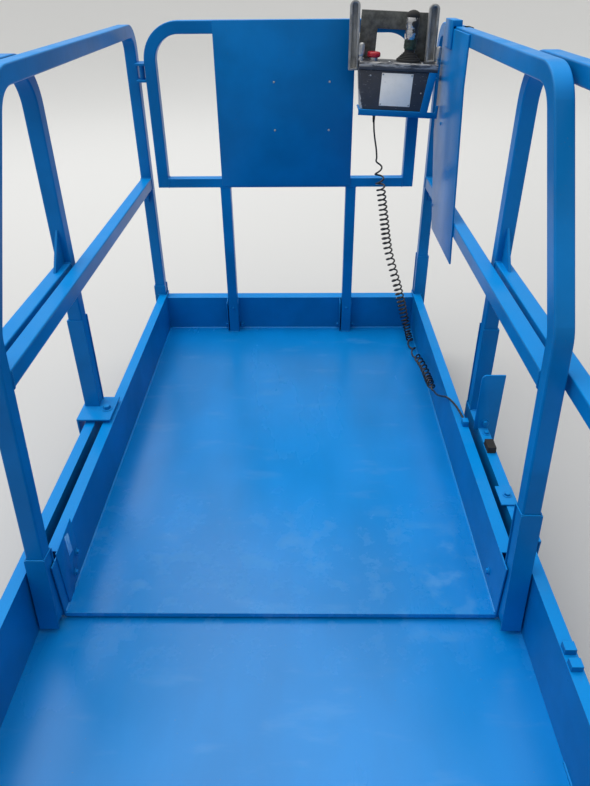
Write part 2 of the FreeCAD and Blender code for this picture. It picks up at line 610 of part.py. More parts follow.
def u_section(side, inner, outer, wall, half):
    """A channel open towards the centre line: inner and outer are its faces' places along X."""
    return [("%d * (%s)" % (side, across), up) for across, up in (
        (inner, "-(%s)" % half), (outer, "-(%s)" % half), (outer, half), (inner, half),
        (inner, "%s - %s" % (half, wall)), ("%s - %s" % (outer, wall), "%s - %s" % (half, wall)),
        ("%s - %s" % (outer, wall), "-(%s) + %s" % (half, wall)), (inner, "-(%s) + %s" % (half, wall)))]


def main_deck():
    plate = prism("main_deck", "XY_Plane",
                  [("-main_half", "-main_behind"), ("main_half", "-main_behind"),
                   ("main_half", "main_front"), ("-main_half", "main_front")],
                  "main_z - deck_plate", "deck_plate")
    keep(plate, "main_deck")


def main_toe_boards():
    outer, rim = "(main_half + main_wall)", "(main_half + main_flange)"
    for side, sign in SIDES:
        section = [("%d * (%s)" % (sign, across), up) for across, up in (
            ("main_half - main_foot", "cross_base - main_wall"), (outer, "cross_base - main_wall"),
            (outer, "toe_top - main_wall"), (rim + " - main_wall", "toe_top - main_wall"),
            (rim + " - main_wall", "toe_top - main_lip"), (rim, "toe_top - main_lip"),
            (rim, "toe_top"), ("main_half", "toe_top"), ("main_half", "cross_base"),
            ("main_half - main_foot", "cross_base"))]
        keep(prism("main_toe_" + side, "XZ_Plane", section, "-main_behind", "main_behind + main_front"),
             "main_toe_" + side)


def under_frame():
    members = []
    for number in range(round(size("cross_count"))):
        near = "(%d * cross_step - main_behind)" % number
        far = near + " + cross_width"
        section = [(near, "cross_base"), (far, "cross_base"), (far, "cross_base + cross_wall"),
                   (near + " + cross_wall", "cross_base + cross_wall"),
                   (near + " + cross_wall", "cross_top - cross_wall"), (far, "cross_top - cross_wall"),
                   (far, "cross_top"), (near, "cross_top")]
        members.append(prism("cross_%d" % (number + 1), "YZ_Plane", section, "-main_half", "2 * main_half"))
    keep(group("cross_members", members), "cross_members")
    headers = [block("rear_header", ("-main_half - main_wall", "main_half + main_wall"),
                     ("-rear_reach", "-main_behind"), ("cross_base - main_wall", "main_z")),
               block("front_header", ("-main_half", "main_half"),
                     ("main_front - header_wall", "main_front"), ("cross_base", "cross_top"))]
    keep(group("deck_headers", headers), "deck_headers")


def scissor_tracks():
    centre = "(cross_base + track_base) / 2"
    for side, sign in SIDES:
        inner, outer = "(track_face - track_width)", "track_face"
        section = [("%d * %s" % (sign, across), up) for across, up in (
            (inner, "track_base"), (outer, "track_base"), (outer, "cross_base"), (inner, "cross_base"),
            (inner, "cross_base - track_wall"), ("(track_face - track_wall)", "cross_base - track_wall"),
            ("(track_face - track_wall)", "track_base + track_wall"), (inner, "track_base + track_wall"))]
        track = prism("track_section_" + side, "XZ_Plane", section, "-track_behind",
                      "track_behind + track_front")
        drill = rod("track_drill_" + side, "pivot_radius", "2 * track_face",
                    ("-track_face" if sign < 0 else "0", "-pivot_behind", centre), "X")
        keep(cut("scissor_track_" + side, track, drill), "scissor_track_" + side)
        low = "(%s - boss_radius)" % centre
        lug = [("-pivot_behind - boss_radius", "cross_base - track_wall"),
               ("-pivot_behind - boss_radius", low, "boss_radius - round_flat"),
               ("-pivot_behind + boss_radius", low, "boss_radius - round_flat"),
               ("-pivot_behind + boss_radius", "cross_base - track_wall")]
        start = "track_wall - track_face" if sign < 0 else "track_face - track_width"
        boss = prism("pivot_boss_" + side, "YZ_Plane", lug, start, "track_width - track_wall",
                     [("-pivot_behind", centre, "pivot_radius")])
        keep(boss, "pivot_boss_" + side)


def main_rails():
    for side, sign in SIDES:
        x = "%d * main_rail_x" % sign
        foot = "keeper_top" if side == "left" else "toe_top"
        hoop = bent_tube("main_hoop_" + side, "YZ_Plane",
                         [("main_post_front", foot), ("main_post_front", "rail_line"),
                          ("-main_post_rear", "rail_line"), ("-main_post_rear", "toe_top")],
                         ["rail_bend", "rail_bend"], x)
        half = "tube / 2"
        runs = [
            straight_tube("main_mid_front_" + side, "Y", "-main_post_middle + tube / 2",
                          "main_post_front - tube / 2", x, "mid_line"),
            straight_tube("main_mid_rear_" + side, "Y", "-main_post_rear + tube / 2",
                          "-main_post_middle - tube / 2", x, "mid_line"),
            straight_tube("main_post_" + side, "Z", "toe_top", "rail_top - tube", x,
                          "-main_post_middle")]
        gusset = prism("main_gusset_" + side, "YZ_Plane",
                       [("main_post_front - %s" % half, "mid_top"),
                        ("main_post_front - %s" % half, "mid_top + gusset_height"),
                        ("main_post_front - %s - gusset_length" % half, "mid_top")],
                       x + " - gusset_wall / 2", "gusset_wall")
        keep(fuse("main_rail_" + side, [hoop] + runs + [gusset]), "main_rail_" + side)


def main_sockets():
    for side, sign in SIDES:
        top = "main_socket_" + side
        sockets = []
        for name, place_y, foot in (("front", "main_post_front", "keeper_top" if sign < 0 else "toe_top"),
                                    ("middle", "-main_post_middle", "toe_top"),
                                    ("rear", "-main_post_rear", "toe_top")):
            half = "socket_size / 2"
            body = doc.addObject("PartDesign::Body", "main_socket_%s_%s" % (side, name))
            section = [(across, "%s + %s" % (place_y, up))
                       for across, up in u_section(sign, "main_half", "main_socket_x", "cheek", half)]
            extrude(body, body.Name, "XY_Plane", section, foot, "%s - %s" % (top, foot))
            sockets.append(place(body))
        keep(group("main_sockets_" + side, sockets), "main_sockets_" + side)


def left_keeper():
    """The foot that holds the left roll-out toe-board down."""
    inner = "-(main_half - keeper_cover)"
    shelf = block("keeper_shelf", ("-bracket_reach", inner), ("keeper_start", "main_front"),
                  ("keeper_top - keeper_wall", "keeper_top"))
    leg = block("keeper_leg", ("-bracket_reach", "-bracket_reach + keeper_wall"),
                ("keeper_start", "main_front"), ("keeper_top - keeper_drop", "keeper_top"))
    spacer = block("keeper_spacer", ("-main_half - main_flange", "-main_half"),
                   ("main_front - keeper_spacer_length", "main_front"),
                   ("toe_top", "keeper_top - keeper_wall"))
    keep(fuse("keeper_left", [shelf, leg, spacer]), "keeper_left")


def right_brackets():
    """What stands on the right main toe-board: the upright plate and the small pieces near it."""
    upright = prism("upright_sheet", "XZ_Plane",
                    [("upright_inner", "toe_top"), ("main_half + main_flange", "toe_top"),
                     ("main_half + main_flange", "toe_top - upright_tail"),
                     ("bracket_reach", "toe_top - upright_tail"), ("bracket_reach", "upright_top"),
                     ("upright_inner", "upright_top", "upright_round")],
                    "upright_place", "keeper_wall")
    foot_rear = "(upright_place - foot_length)"
    foot = block("upright_foot", ("main_half", "main_half + main_flange"), (foot_rear, "upright_place"),
                 ("toe_top", "toe_top + keeper_wall"))
    keep(fuse("upright_plate", [upright, foot]), "upright_plate")
    inner, outer = "main_half + main_rail_seat", "main_half + main_rail_seat + stop_width"
    keep(block("rubber_stop", (inner, outer), (foot_rear + " - rubber_length", foot_rear),
               ("toe_top", "toe_top + rubber_height")), "rubber_stop")
    keep(block("bridge_plate", ("main_half - bridge_overhang", "main_half + main_flange"),
               ("bridge_rear", "bridge_rear + bridge_width"), ("toe_top", "toe_top + bridge_wall")),
         "bridge_plate")
    stops = [block("rail_stop_" + name, (inner, outer), (rear, rear + " + stop_length"),
                   ("toe_top", "toe_top + stop_height"))
             for name, rear in (("rear", "stop_rear"), ("front", "stop_rear + stop_pitch"))]
    keep(group("rail_stops", stops), "rail_stops")
    near, far, wall = "(main_half + main_flange)", "bracket_reach", "side_clip_wall"
    high = "(toe_top - side_clip_drop)"
    low = "(%s - side_clip_height)" % high
    section = [(near, low), (far, low), (far, high), (near, high), (near, "%s - %s" % (high, wall)),
               ("%s - %s" % (far, wall), "%s - %s" % (high, wall)),
               ("%s - %s" % (far, wall), "%s + %s" % (low, wall)), (near, "%s + %s" % (low, wall))]
    keep(prism("side_clip", "XZ_Plane", section, "side_clip_rear", "side_clip_length"), "side_clip")


def main_wear_pads():
    """The strips that the roll-out deck's toe-boards slide on."""
    pads = []
    for side, sign in SIDES:
        near, far = "toe_out + rail_seat", "ext_half + toe_flange"
        span = ("-(%s)" % far, "-(%s)" % near) if sign < 0 else (near, far)
        pads.append(block("pad_front_" + side, span, ("main_front - pad_back", "main_front - pad_front"),
                          ("main_z", "hat_base - run_gap")))
    keep(group("main_wear_pads", pads), "main_wear_pads")


def rear_rails():
    """The fixed frames either side of the gate, each with its piece of kick plate."""
    outer = "(main_half - rear_frame_play - tube / 2)"
    inner = "(gate_half + gate_gap + tube / 2)"
    for side, sign in SIDES:
        hoop = bent_tube("rear_hoop_" + side, "XZ_Plane",
                         [("%d * %s" % (sign, outer), "main_z"), ("%d * %s" % (sign, outer), "rail_line"),
                          ("%d * %s" % (sign, inner), "rail_line"), ("%d * %s" % (sign, inner), "main_z")],
                         ["rear_bend", "rear_bend"], "-main_post_rear")
        low, high = "(%s + tube / 2)" % inner, "(%s - tube / 2)" % outer
        span = (low, high) if sign > 0 else ("-" + high, "-" + low)
        bar = straight_tube("rear_bar_" + side, "X", span[0], span[1], "-main_post_rear", "mid_line")
        face = "-main_post_rear - tube / 2"
        kick = block("rear_kick_" + side, span, (face, face + " + toe_wall"), ("main_z", "toe_top"))
        keep(fuse("rear_rail_" + side, [hoop, bar, kick]), "rear_rail_" + side)


def gate():
    """The entry gate: a tube frame with a mid bar, a kick plate and a latch."""
    edge = "(gate_half - tube / 2)"
    frame = bent_tube("gate_hoop", "XZ_Plane",
                      [("-" + edge, "gate_bottom"), ("-" + edge, "rail_line"),
                       (edge, "rail_line"), (edge, "gate_bottom")],
                      ["front_bend", "front_bend"], "-main_post_rear")
    bars = [straight_tube("gate_bar_" + name, "X", "-gate_half + tube", "gate_half - tube",
                          "-main_post_rear", level)
            for name, level in (("mid", "mid_line"), ("low", "gate_bottom + tube / 2"))]
    keep(fuse("gate_frame", [frame] + bars), "gate_frame")
    face = "(-main_post_rear + tube / 2)"
    keep(block("gate_kick_plate", ("-gate_half", "gate_half"), (face, face + " + toe_wall"),
               ("gate_toe_bottom", "gate_bottom + tube")), "gate_kick_plate")
    housing = block("gate_latch_box", ("gate_half - latch_box_width", "gate_half"),
                    (face, face + " + latch_box_depth"), ("latch_level", "latch_level + latch_box_height"))
    bolt = rod("gate_latch_bolt", "latch_bolt_radius", "latch_box_width + latch_bolt_reach",
               ("gate_half - latch_box_width", face + " + latch_box_depth / 2",
                "latch_level + latch_box_height / 2"), "X")
    keep(fuse("gate_latch", [housing, bolt]), "gate_latch")
    rear = "(-main_post_rear - tube / 2 - run_gap)"
    keep(block("gate_stop", ("gate_half - gate_stop_cover", "gate_half + gate_gap + gate_stop_seat"),
               (rear + " - gate_stop_wall", rear),
               ("gate_stop_level", "gate_stop_level + gate_stop_height")), "gate_stop")


def gate_hinges():
    """Two hinges on the gate's left: a barrel on the gate between two on the post."""
    axis_x, axis_y = "-gate_half - gate_gap / 2", "-main_post_rear + tube / 2 + barrel_radius"
    leaf_y = ("-main_post_rear + tube / 2", "-main_post_rear + tube / 2 + leaf_wall")
    knuckles, bores, hinges = [], [], []
    for name, level in (("low", "hinge_low"), ("high", "hinge_high")):
        barrel = rod("gate_barrel_" + name, "barrel_radius", "barrel_length", (axis_x, axis_y, level), "Z")
        leaf = block("gate_leaf_" + name, (axis_x, "-gate_half + leaf_length"), leaf_y,
                     (level, level + " + barrel_length"))
        knuckles.append(fuse("gate_knuckle_" + name, [barrel, leaf]))
        bores.append(rod("gate_bore_" + name, "pin_radius + pin_play", "barrel_length",
                         (axis_x, axis_y, level), "Z"))
        below = level + " - run_gap - knuckle_length"
        above = level + " + barrel_length + run_gap"
        pieces = [rod("hinge_pin_" + name, "pin_radius", "barrel_length + 2 * run_gap + 2 * knuckle_length",
                      (axis_x, axis_y, below), "Z")]
        for end, start in (("below", below), ("above", above)):
            pieces.append(rod("hinge_barrel_%s_%s" % (name, end), "barrel_radius", "knuckle_length",
                              (axis_x, axis_y, start), "Z"))
            pieces.append(block("hinge_leaf_%s_%s" % (name, end),
                                ("-gate_half - gate_gap - leaf_length", axis_x), leaf_y,
                                (start, start + " + knuckle_length")))
        hinges.append(fuse("gate_hinge_" + name, pieces))
    keep(group("gate_hinges", hinges), "gate_hinges")
    keep(cut("gate_barrels", group("gate_knuckles", knuckles), group("gate_bores", bores)), "gate_barrels")


def roll_out_deck():
    deck = prism("ext_deck", "YZ_Plane",
                 [("0", "0"), ("0", "hat_base"), ("toe_wall", "hat_base"), ("toe_wall", "-deck_plate"),
                  ("ext_length", "-deck_plate"), ("ext_length", "0")], "-ext_half", "2 * ext_half")
    keep(deck, "ext_deck")
    hats = []
    for number, centre in enumerate(("-hat_place", "0 * hat_place", "hat_place"), 1):
        outer, inner, floor = "hat_width / 2", "hat_width / 2 - hat_wall", "hat_base + hat_wall"
        rows = (("-" + outer, "-deck_plate"), ("-" + outer, "hat_base"), (outer, "hat_base"),
                (outer, "-deck_plate"), (inner, "-deck_plate"), (inner, floor),
                ("-(%s)" % inner, floor), ("-(%s)" % inner, "-deck_plate"))
        section = [("%s + %s" % (centre, across), up) for across, up in rows]
        hats.append(prism("hat_%d" % number, "XZ_Plane", section, "toe_wall", "ext_length - toe_wall"))
    keep(group("ext_stiffeners", hats), "ext_stiffeners")
    pads = [block("pad_rear_" + side, ("%s - hat_width / 2" % centre, "%s + hat_width / 2" % centre),
                  ("2 * toe_wall", "2 * toe_wall + hat_width"), ("main_z + run_gap", "hat_base"))
            for side, centre in (("left", "-hat_place"), ("right", "hat_place"))]
    keep(group("ext_wear_pads", pads), "ext_wear_pads")


def roll_out_toe_boards():
    for side, sign in SIDES:
        body = doc.addObject("PartDesign::Body", "ext_toe_" + side)
        web = [("%d * ext_half" % sign, "hat_base"), ("%d * toe_out" % sign, "hat_base"),
               ("%d * toe_out" % sign, "toe_top"), ("%d * ext_half" % sign, "toe_top")]
        extrude(body, body.Name + "_web", "XZ_Plane", web, "0", "front_reach")
        for name, low, high in (("top", "toe_top - toe_wall", "toe_top"),
                                ("foot", "hat_base", "hat_base + toe_wall")):
            flange = [("%d * ext_half" % sign, low), ("%d * (ext_half + toe_flange)" % sign, low),
                      ("%d * (ext_half + toe_flange)" % sign, high), ("%d * ext_half" % sign, high)]
            extrude(body, "%s_%s" % (body.Name, name), "XZ_Plane", flange, "toe_run",
                    "ext_length - toe_run")
        keep(place(body), "ext_toe_" + side)
    near, far = "ext_length", "(ext_length + beam_flange)"
    section = [(near, "-beam_drop"), (far, "-beam_drop"), (far, "-beam_drop + toe_wall"),
               (near + " + toe_wall", "-beam_drop + toe_wall"), (near + " + toe_wall", "beam_top - toe_wall"),
               (far, "beam_top - toe_wall"), (far, "beam_top"), (near, "beam_top")]
    keep(prism("ext_toe_front", "YZ_Plane", section, "-ext_half", "2 * ext_half"), "ext_toe_front")


def gusset_plate():
    """The slotted plate inside the left roll-out toe-board's rear end."""
    front_foot = "latch_rear + latch_foot"
    slot = [("latch_slot_rear", "latch_slot_low"), ("latch_slot_rear + latch_slot", "latch_slot_low"),
            ("latch_slot_rear + latch_slot", "latch_slot_high"), ("latch_slot_rear", "latch_slot_high")]
    keep(prism("gusset_plate", "YZ_Plane",
               [("latch_rear", "run_gap"), (front_foot, "run_gap"), ("latch_length", "latch_knee"),
                ("latch_length", "latch_height"), ("latch_rear", "latch_height - latch_drop")],
               "-ext_half", "latch_wall", [slot]), "gusset_plate")


def roll_out_rails():
    for side, sign in SIDES:
        x = "%d * ext_rail_x" % sign
        hoop = bent_tube("ext_hoop_" + side, "YZ_Plane",
                         [("ext_front_post", "post_foot"), ("ext_front_post", "rail_line"),
                          ("crown_y", "rail_line"), ("kink_y", "post_kink"),
                          ("rear_post + post_foot * tan(lower_lean * 1deg)", "post_foot")],
                         ["front_bend", "rail_bend", "kink_bend"], x)
        mid = straight_tube("ext_mid_" + side, "Y", "mid_start", "ext_front_post - tube / 2", x, "mid_line")
        post, low = "ext_front_post - tube / 2", "mid_top - tube"
        gusset = prism("ext_gusset_" + side, "YZ_Plane",
                       [(post, low), (post + " - gusset_reach", low), (post, low + " - gusset_reach")],
                       x + " - gusset_wall / 2", "gusset_wall")
        keep(fuse("ext_rail_" + side, [hoop, mid, gusset]), "ext_rail_" + side)
        outer = "ext_rail_x + tube / 2 + socket_gap + cheek"
        top = "ext_socket_" + side
        half = "socket_size / 2"
        front = doc.addObject("PartDesign::Body", "ext_socket_front_" + side)
        section = [(across, "ext_front_post + " + up)
                   for across, up in u_section(sign, "toe_out", outer, "cheek", half)]
        extrude(front, front.Name, "XY_Plane", section, "-beam_drop", top + " + beam_drop")
        rear = doc.addObject("PartDesign::Body", "ext_socket_rear_" + side)
        extrude(rear, rear.Name, "XY_Plane", u_section(sign, "toe_out", outer, "cheek", half),
                "socket_foot", top + " - socket_foot")
        place(rear, y="rear_post")
        bind(rear, "Placement.Rotation.Axis.x", "-1")
        bind(rear, "Placement.Rotation.Axis.z", "0")
        bind(rear, "Placement.Rotation.Angle", "lower_lean * 1deg")
        keep(group("ext_sockets_" + side, [place(front), rear]), "ext_sockets_" + side)


def front_guard():
    """The folding front frame, its legs and its panel, clamped to the side rails."""
    left, right = "(-frame_left + tube / 2)", "(frame_right - tube / 2)"
    foot, crown = "frame_bar_top - frame_bar_height", "rail_line + frame_rise"
    hoop = bent_tube("front_hoop", "XZ_Plane",
                     [(left, foot), (left, crown), (right, crown), (right, foot)],
                     ["rail_bend", "rail_bend"], "ext_length - tube / 2")
    rear, inside = "ext_length - tube", "frame_bar_top - tube_wall"
    bore = [("ext_length - tube_wall", foot + " + tube_wall"), ("ext_length - tube_wall", inside),
            (rear + " + tube_wall", inside), (rear + " + tube_wall", foot + " + tube_wall")]
    bar = prism("front_bar", "YZ_Plane",
                [(rear, foot), ("ext_length", foot), ("ext_length", "frame_bar_top"), (rear, "frame_bar_top")],
                "-frame_left + tube", "frame_left + frame_right - 2 * tube", [bore])
    keep(fuse("front_frame", [hoop, bar]), "front_frame")
    legs = [block("front_leg_%d" % number, ("%s - leg_size / 2" % centre, "%s + leg_size / 2" % centre),
                  ("ext_length - leg_size", "ext_length"), ("0", foot))
            for number, centre in enumerate(("-leg_place", "leg_place"), 1)]
    keep(group("front_legs", legs), "front_legs")
    keep(block("front_panel", ("-panel_left", "panel_right"),
               ("ext_length - tube - panel_wall", rear), ("panel_bottom", "rail_top + frame_rise")),
         "front_panel")
    post_face = "(ext_rail_x - tube / 2)"
    clamps = []
    for side, low, high in (("left", "-" + post_face, "-frame_left"), ("right", "frame_right", post_face)):
        ribs = [block("clamp_rib_%s_%s" % (side, name), (low, high), (rear, "front_reach - cheek"),
                      (level, level + " + clamp_wall"))
                for name, level in (("low", "clamp_low"), ("high", "clamp_high"))]
        pin = rod("clamp_pin_" + side, "clamp_pin_radius", "clamp_high - clamp_low",
                  ("(%s + %s) / 2" % (low, high), "ext_length - clamp_pin_inset", "clamp_low"), "Z")
        clamps.append(fuse("rail_clamp_" + side, ribs + [pin]))
    keep(group("rail_clamps", clamps), "rail_clamps")


def side_plate():
    """The plate on the right rail that carries the control box, its hook and a rubber buffer."""
    top = "(rail_top - plate_drop)"
    keep(prism("control_plate", "YZ_Plane",
               [("plate_rear_low", "plate_bottom"), ("plate_front_low", "plate_bottom"),
                ("plate_front", "plate_shoulder"), ("plate_front", top), ("plate_rear", top),
                ("plate_rear", "plate_rear_shoulder")], "plate_face", "plate_wall"), "control_plate")
    span = ("hook_front - hook_length", "hook_front")
    leg = block("hook_leg", ("plate_face - hook_wall", "plate_face"), span,
                ("rail_top - hook_drop", "rail_top + hook_height"))
    shelf = block("hook_shelf", ("plate_face", "ext_rail_x"), span, ("rail_top", "rail_top + hook_height"))
    keep(fuse("plate_hook", [leg, shelf]), "plate_hook")
    front = "(hook_front - hook_length + buffer_lap)"
    keep(block("rail_buffer", ("ext_rail_x", "ext_rail_x + tube / 2 + buffer_overhang"),
               (front + " - buffer_length", front), ("rail_top", "rail_top + buffer_height")), "rail_buffer")


def box_cradle():
    """The bent strap in front of the control box and the tray under it."""
    left, right = "(box_left + box_narrowing - cradle_wall)", "(box_right - box_narrowing)"
    low, end = "(box_base - cradle_bar)", "(cradle_x - cradle_end)"
    strap = prism("cradle_strap", "XZ_Plane",
                  [(left, low), ("cradle_x", low), ("cradle_x", low + " + cradle_hook"),
                   (end, low + " + cradle_hook"), (end, "box_base"), (right, "box_base"),
                   ("box_right", "box_top"), ("box_right - cradle_strap", "box_top"),
                   (right + " - cradle_strap", "box_base"), (left, "box_base")],
                  "box_near - cradle_wall", "cradle_wall", put=lean)
    tray = block("cradle_tray", (left, right), ("box_near", "box_far"),
                 ("box_base - cradle_wall", "box_base"), put=lean)
    keep(fuse("box_cradle", [strap, tray]), "box_cradle")


def control_box():
    """The control box's tapered body and its lid."""
    keep(prism("control_box", "XZ_Plane",
               [("box_left + box_narrowing", "box_base"), ("box_right - box_narrowing", "box_base"),
                ("box_right", "box_top"), ("box_left", "box_top")], "box_near", "box_depth", put=lean),
         "control_box")
    keep(prism("box_lid", "YZ_Plane",
               [("box_near - lid_lip", "box_top"), ("box_far", "box_top"), ("box_far", "lid_top"),
                ("box_near - lid_lip", "lid_top", "lid_round")], "lid_left", "lid_right - lid_left", put=lean),
         "box_lid")


def box_guards():
    """The two hoops and the plate between them that keep the joystick from being pushed by accident."""
    start = "box_near + guard_inset"
    hoops = []
    for side, foot in (("left", "box_top"), ("right", "guard_right_foot")):
        left, top = "guard_%s_x" % side, "guard_%s_top" % side
        outer = [(left, foot), (left + " + guard_width", foot),
                 (left + " + guard_width", top, "guard_width / 2 - round_flat"),
                 (left, top, "guard_width / 2 - round_flat")]
        inner = [(left + " + guard_rim", foot + " + guard_rim"),
                 (left + " + guard_width - guard_rim", foot + " + guard_rim"),
                 (left + " + guard_width - guard_rim", top + " - guard_rim",
                  "guard_width / 2 - guard_rim - round_flat"),
                 (left + " + guard_rim", top + " - guard_rim", "guard_width / 2 - guard_rim - round_flat")]
        body = doc.addObject("PartDesign::Body", "box_guard_" + side)
        extrude(body, body.Name + "_rim", "XZ_Plane", outer, start, "guard_depth", [inner])
        extrude(body, body.Name + "_web", "XZ_Plane", outer, start + " + guard_depth - guard_web", "guard_web")
        hoops.append(place(body))
    keep(group("box_guards", hoops), "box_guards")
    right, bar = "(lid_left + cross_span)", "(lid_top + cross_height - cross_bar)"
    keep(prism("guard_plate", "XZ_Plane",
               [("lid_left", "lid_top"), ("lid_left + cross_leg", "lid_top"), ("lid_left + cross_leg", bar),
                (right + " - cross_leg_right", bar), (right + " - cross_leg_right", "lid_top"),
                (right, "lid_top"), (right, "lid_top + cross_height"), ("lid_left", "lid_top + cross_height")],
               "box_far - cross_place - cross_plate_wall", "cross_plate_wall", put=lean), "guard_plate")


def box_controls():
    """Joystick, stop button and the knobs that fix the guards."""
    keep(turned("joystick", [("0", "lid_top"), ("stick_boot", "lid_top"),
                             ("stick_boot", "lid_top + stick_base"),
                             ("stick_neck", "lid_top + stick_boot_top"),
                             ("stick_neck", "lid_top + stick_grip"),
                             ("stick_knob", "lid_top + stick_shoulder"),
                             ("stick_knob", "lid_top + stick_crown", "stick_round"),
                             ("0", "lid_top + stick_height")], "lid_right - stick_place", "box_mid_y", put=lean),
         "joystick")
    keep(turned("stop_button", [("0", "lid_top"), ("button_neck", "lid_top"),
                                ("button_neck", "lid_top + button_collar"),
                                ("button_radius", "lid_top + button_collar"),
                                ("button_radius", "lid_top + button_height", "button_round"),
                                ("0", "lid_top + button_height")], "lid_left + button_place",
                "box_near + button_radius + lid_lip", put=lean), "stop_button")
    knobs = [rod("guard_knob_" + side, "knob_radius", "knob_height", (x, "box_near + knob_radius", "lid_top"),
                 "Z", put=lean)
             for side, x in (("left", "lid_left + knob_inset"), ("right", "lid_right - knob_inset"))]
    keep(group("guard_knobs", knobs), "guard_knobs")


def cord_ends():
    """The gland that the cord hangs from, and the clip on the toe-board where it ends."""
    keep(rod("cord_gland", "gland_radius", "gland_length",
             ("gland_x", "box_mid_y", "gland_top - gland_length"), "Z"), "cord_gland")
    keep(block("cord_clip", ("ext_half + toe_flange - clip_width", "ext_half + toe_flange"),
               ("clip_rear", "clip_rear + clip_length"), ("toe_top", "toe_top + clip_height")), "cord_clip")


def cords():
    """The control box's cord: a plain lead, the curly stretch as one round tube, and a plain end."""
    lead = ((289, 1340.5, 831), (290, 1343, 796), (296, 1348, 757), (303.5, 1350, 724), (309, 1350, 692))
    curl = ((309, 1350, 692), (318, 1350, 640), (328, 1351, 585), (338, 1353, 530), (348, 1352, 470),
            (358, 1354, 410), (371, 1355, 352), (388, 1356, 297), (406, 1357, 243), (423, 1357, 189),
            (438, 1356, 137), (450, 1352, 92), (460, 1338, 54), (467, 1308, 28), (470, 1266, 17),
            (472, 1215, 15.5), (475, 1160, 20), (475, 1105, 36), (473, 1050, 54), (472, 995, 71),
            (470, 940, 83), (470, 880, 89), (470, 825, 97.5), (470, 775, 108.7))
    tail = ((470, 775, 108.7), (470, 741.8, 116.1), (476, 708, 130), (485, 672, 153), (496, 630, 161),
            (506, 588, 160), (512, 546.6, 156))
    for label, route, diameter in (("cord_lead", lead, "cord_size"), ("cord_curl", curl, "curl_size"),
                                   ("cord_tail", tail, "cord_size")):
        keep(cord_tube(label, route, size(diameter) / 2), label)


def cord_tube(label, route, radius):
    """A round tube along straight runs and arcs as large as the runs beside them allow."""
    shift = Vector(0, value("seam_y"), value("deck_z"))
    points = [Vector(*point) + shift for point in route]
    radii = []
    for before, corner, after in zip(points, points[1:], points[2:]):
        shorter = min((corner - before).Length, (after - corner).Length)
        radii.append(0.45 * shorter / math.tan((corner - before).getAngle(after - corner) / 2))
    path = Part.Wire([edge.toShape() for edge in bent_edges(points, radii)])
    section = Part.Wire(Part.Circle(points[0], points[1] - points[0], radius).toShape())
    tube = path.makePipeShell([section], True, False)
    print(label, "length", round(path.Length), "radii", [round(turn) for turn in radii])
    if abs(tube.Volume / (math.pi * radius ** 2 * path.Length) - 1) > 0.01:
        raise RuntimeError(label + " isn't a whole tube")
    feature = doc.addObject("Part::Feature", label)
    feature.Shape = tube
    return feature


def write_parts():
    doc.recompute()
    for thing in doc.Objects:
        if "Invalid" in thing.State or "Error" in thing.State:
            raise RuntimeError("%s failed: %s" % (thing.Name, thing.State))
    os.makedirs("parts", exist_ok=True)
    for thing in parts:
        if thing.Shape.isNull() or not thing.Shape.isValid():
            raise RuntimeError("%s has no valid shape" % thing.Label)
        thing.Shape.exportStep("parts/%s.step" % thing.Label)


make_sheets()
for build in (main_deck, main_toe_boards, under_frame, scissor_tracks, main_rails, main_sockets,
              left_keeper, right_brackets, main_wear_pads, rear_rails, gate, gate_hinges, roll_out_deck,
              roll_out_toe_boards, gusset_plate, roll_out_rails, front_guard, side_plate, box_cradle,
              control_box, box_guards, box_controls, cord_ends, cords):
    build()
write_parts()
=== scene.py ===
import json
import math

import bmesh
import bpy
from bpy.props import FloatProperty, FloatVectorProperty, IntProperty, PointerProperty
from mathutils import Matrix, Vector, noise

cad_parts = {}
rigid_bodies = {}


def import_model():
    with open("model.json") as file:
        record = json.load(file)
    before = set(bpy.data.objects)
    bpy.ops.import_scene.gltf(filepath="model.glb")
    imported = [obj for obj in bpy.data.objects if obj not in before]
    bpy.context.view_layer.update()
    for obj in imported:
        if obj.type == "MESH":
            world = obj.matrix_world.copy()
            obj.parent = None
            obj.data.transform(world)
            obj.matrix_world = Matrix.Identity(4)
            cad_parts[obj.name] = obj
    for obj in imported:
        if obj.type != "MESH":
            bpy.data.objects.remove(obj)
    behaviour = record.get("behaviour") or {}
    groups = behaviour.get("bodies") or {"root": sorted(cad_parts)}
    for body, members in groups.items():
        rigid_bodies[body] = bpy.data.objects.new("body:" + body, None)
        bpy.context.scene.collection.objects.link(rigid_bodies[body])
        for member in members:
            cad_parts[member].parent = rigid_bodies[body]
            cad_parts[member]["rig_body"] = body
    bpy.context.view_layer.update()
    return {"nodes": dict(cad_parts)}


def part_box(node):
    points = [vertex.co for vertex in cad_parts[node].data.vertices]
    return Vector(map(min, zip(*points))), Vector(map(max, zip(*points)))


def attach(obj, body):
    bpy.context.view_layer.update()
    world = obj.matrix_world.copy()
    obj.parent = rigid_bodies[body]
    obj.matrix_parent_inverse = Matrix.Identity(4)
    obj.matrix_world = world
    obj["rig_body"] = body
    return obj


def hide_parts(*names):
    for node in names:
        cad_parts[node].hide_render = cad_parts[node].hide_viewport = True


# Looks of a scissor lift's work platform: gloss paint on its steelwork, welds, bolts,
# the control box with its joystick, and the box's curly cord.

bl_info = {
    "name": "Scissor Lift Work Platform",
    "version": (1, 0, 0),
    "blender": (4, 5, 0),
    "location": "3D View > Sidebar > Platform",
    "description": "Paint, welds, fasteners, controls and cord of a scissor lift's work platform",
    "category": "Object",
}

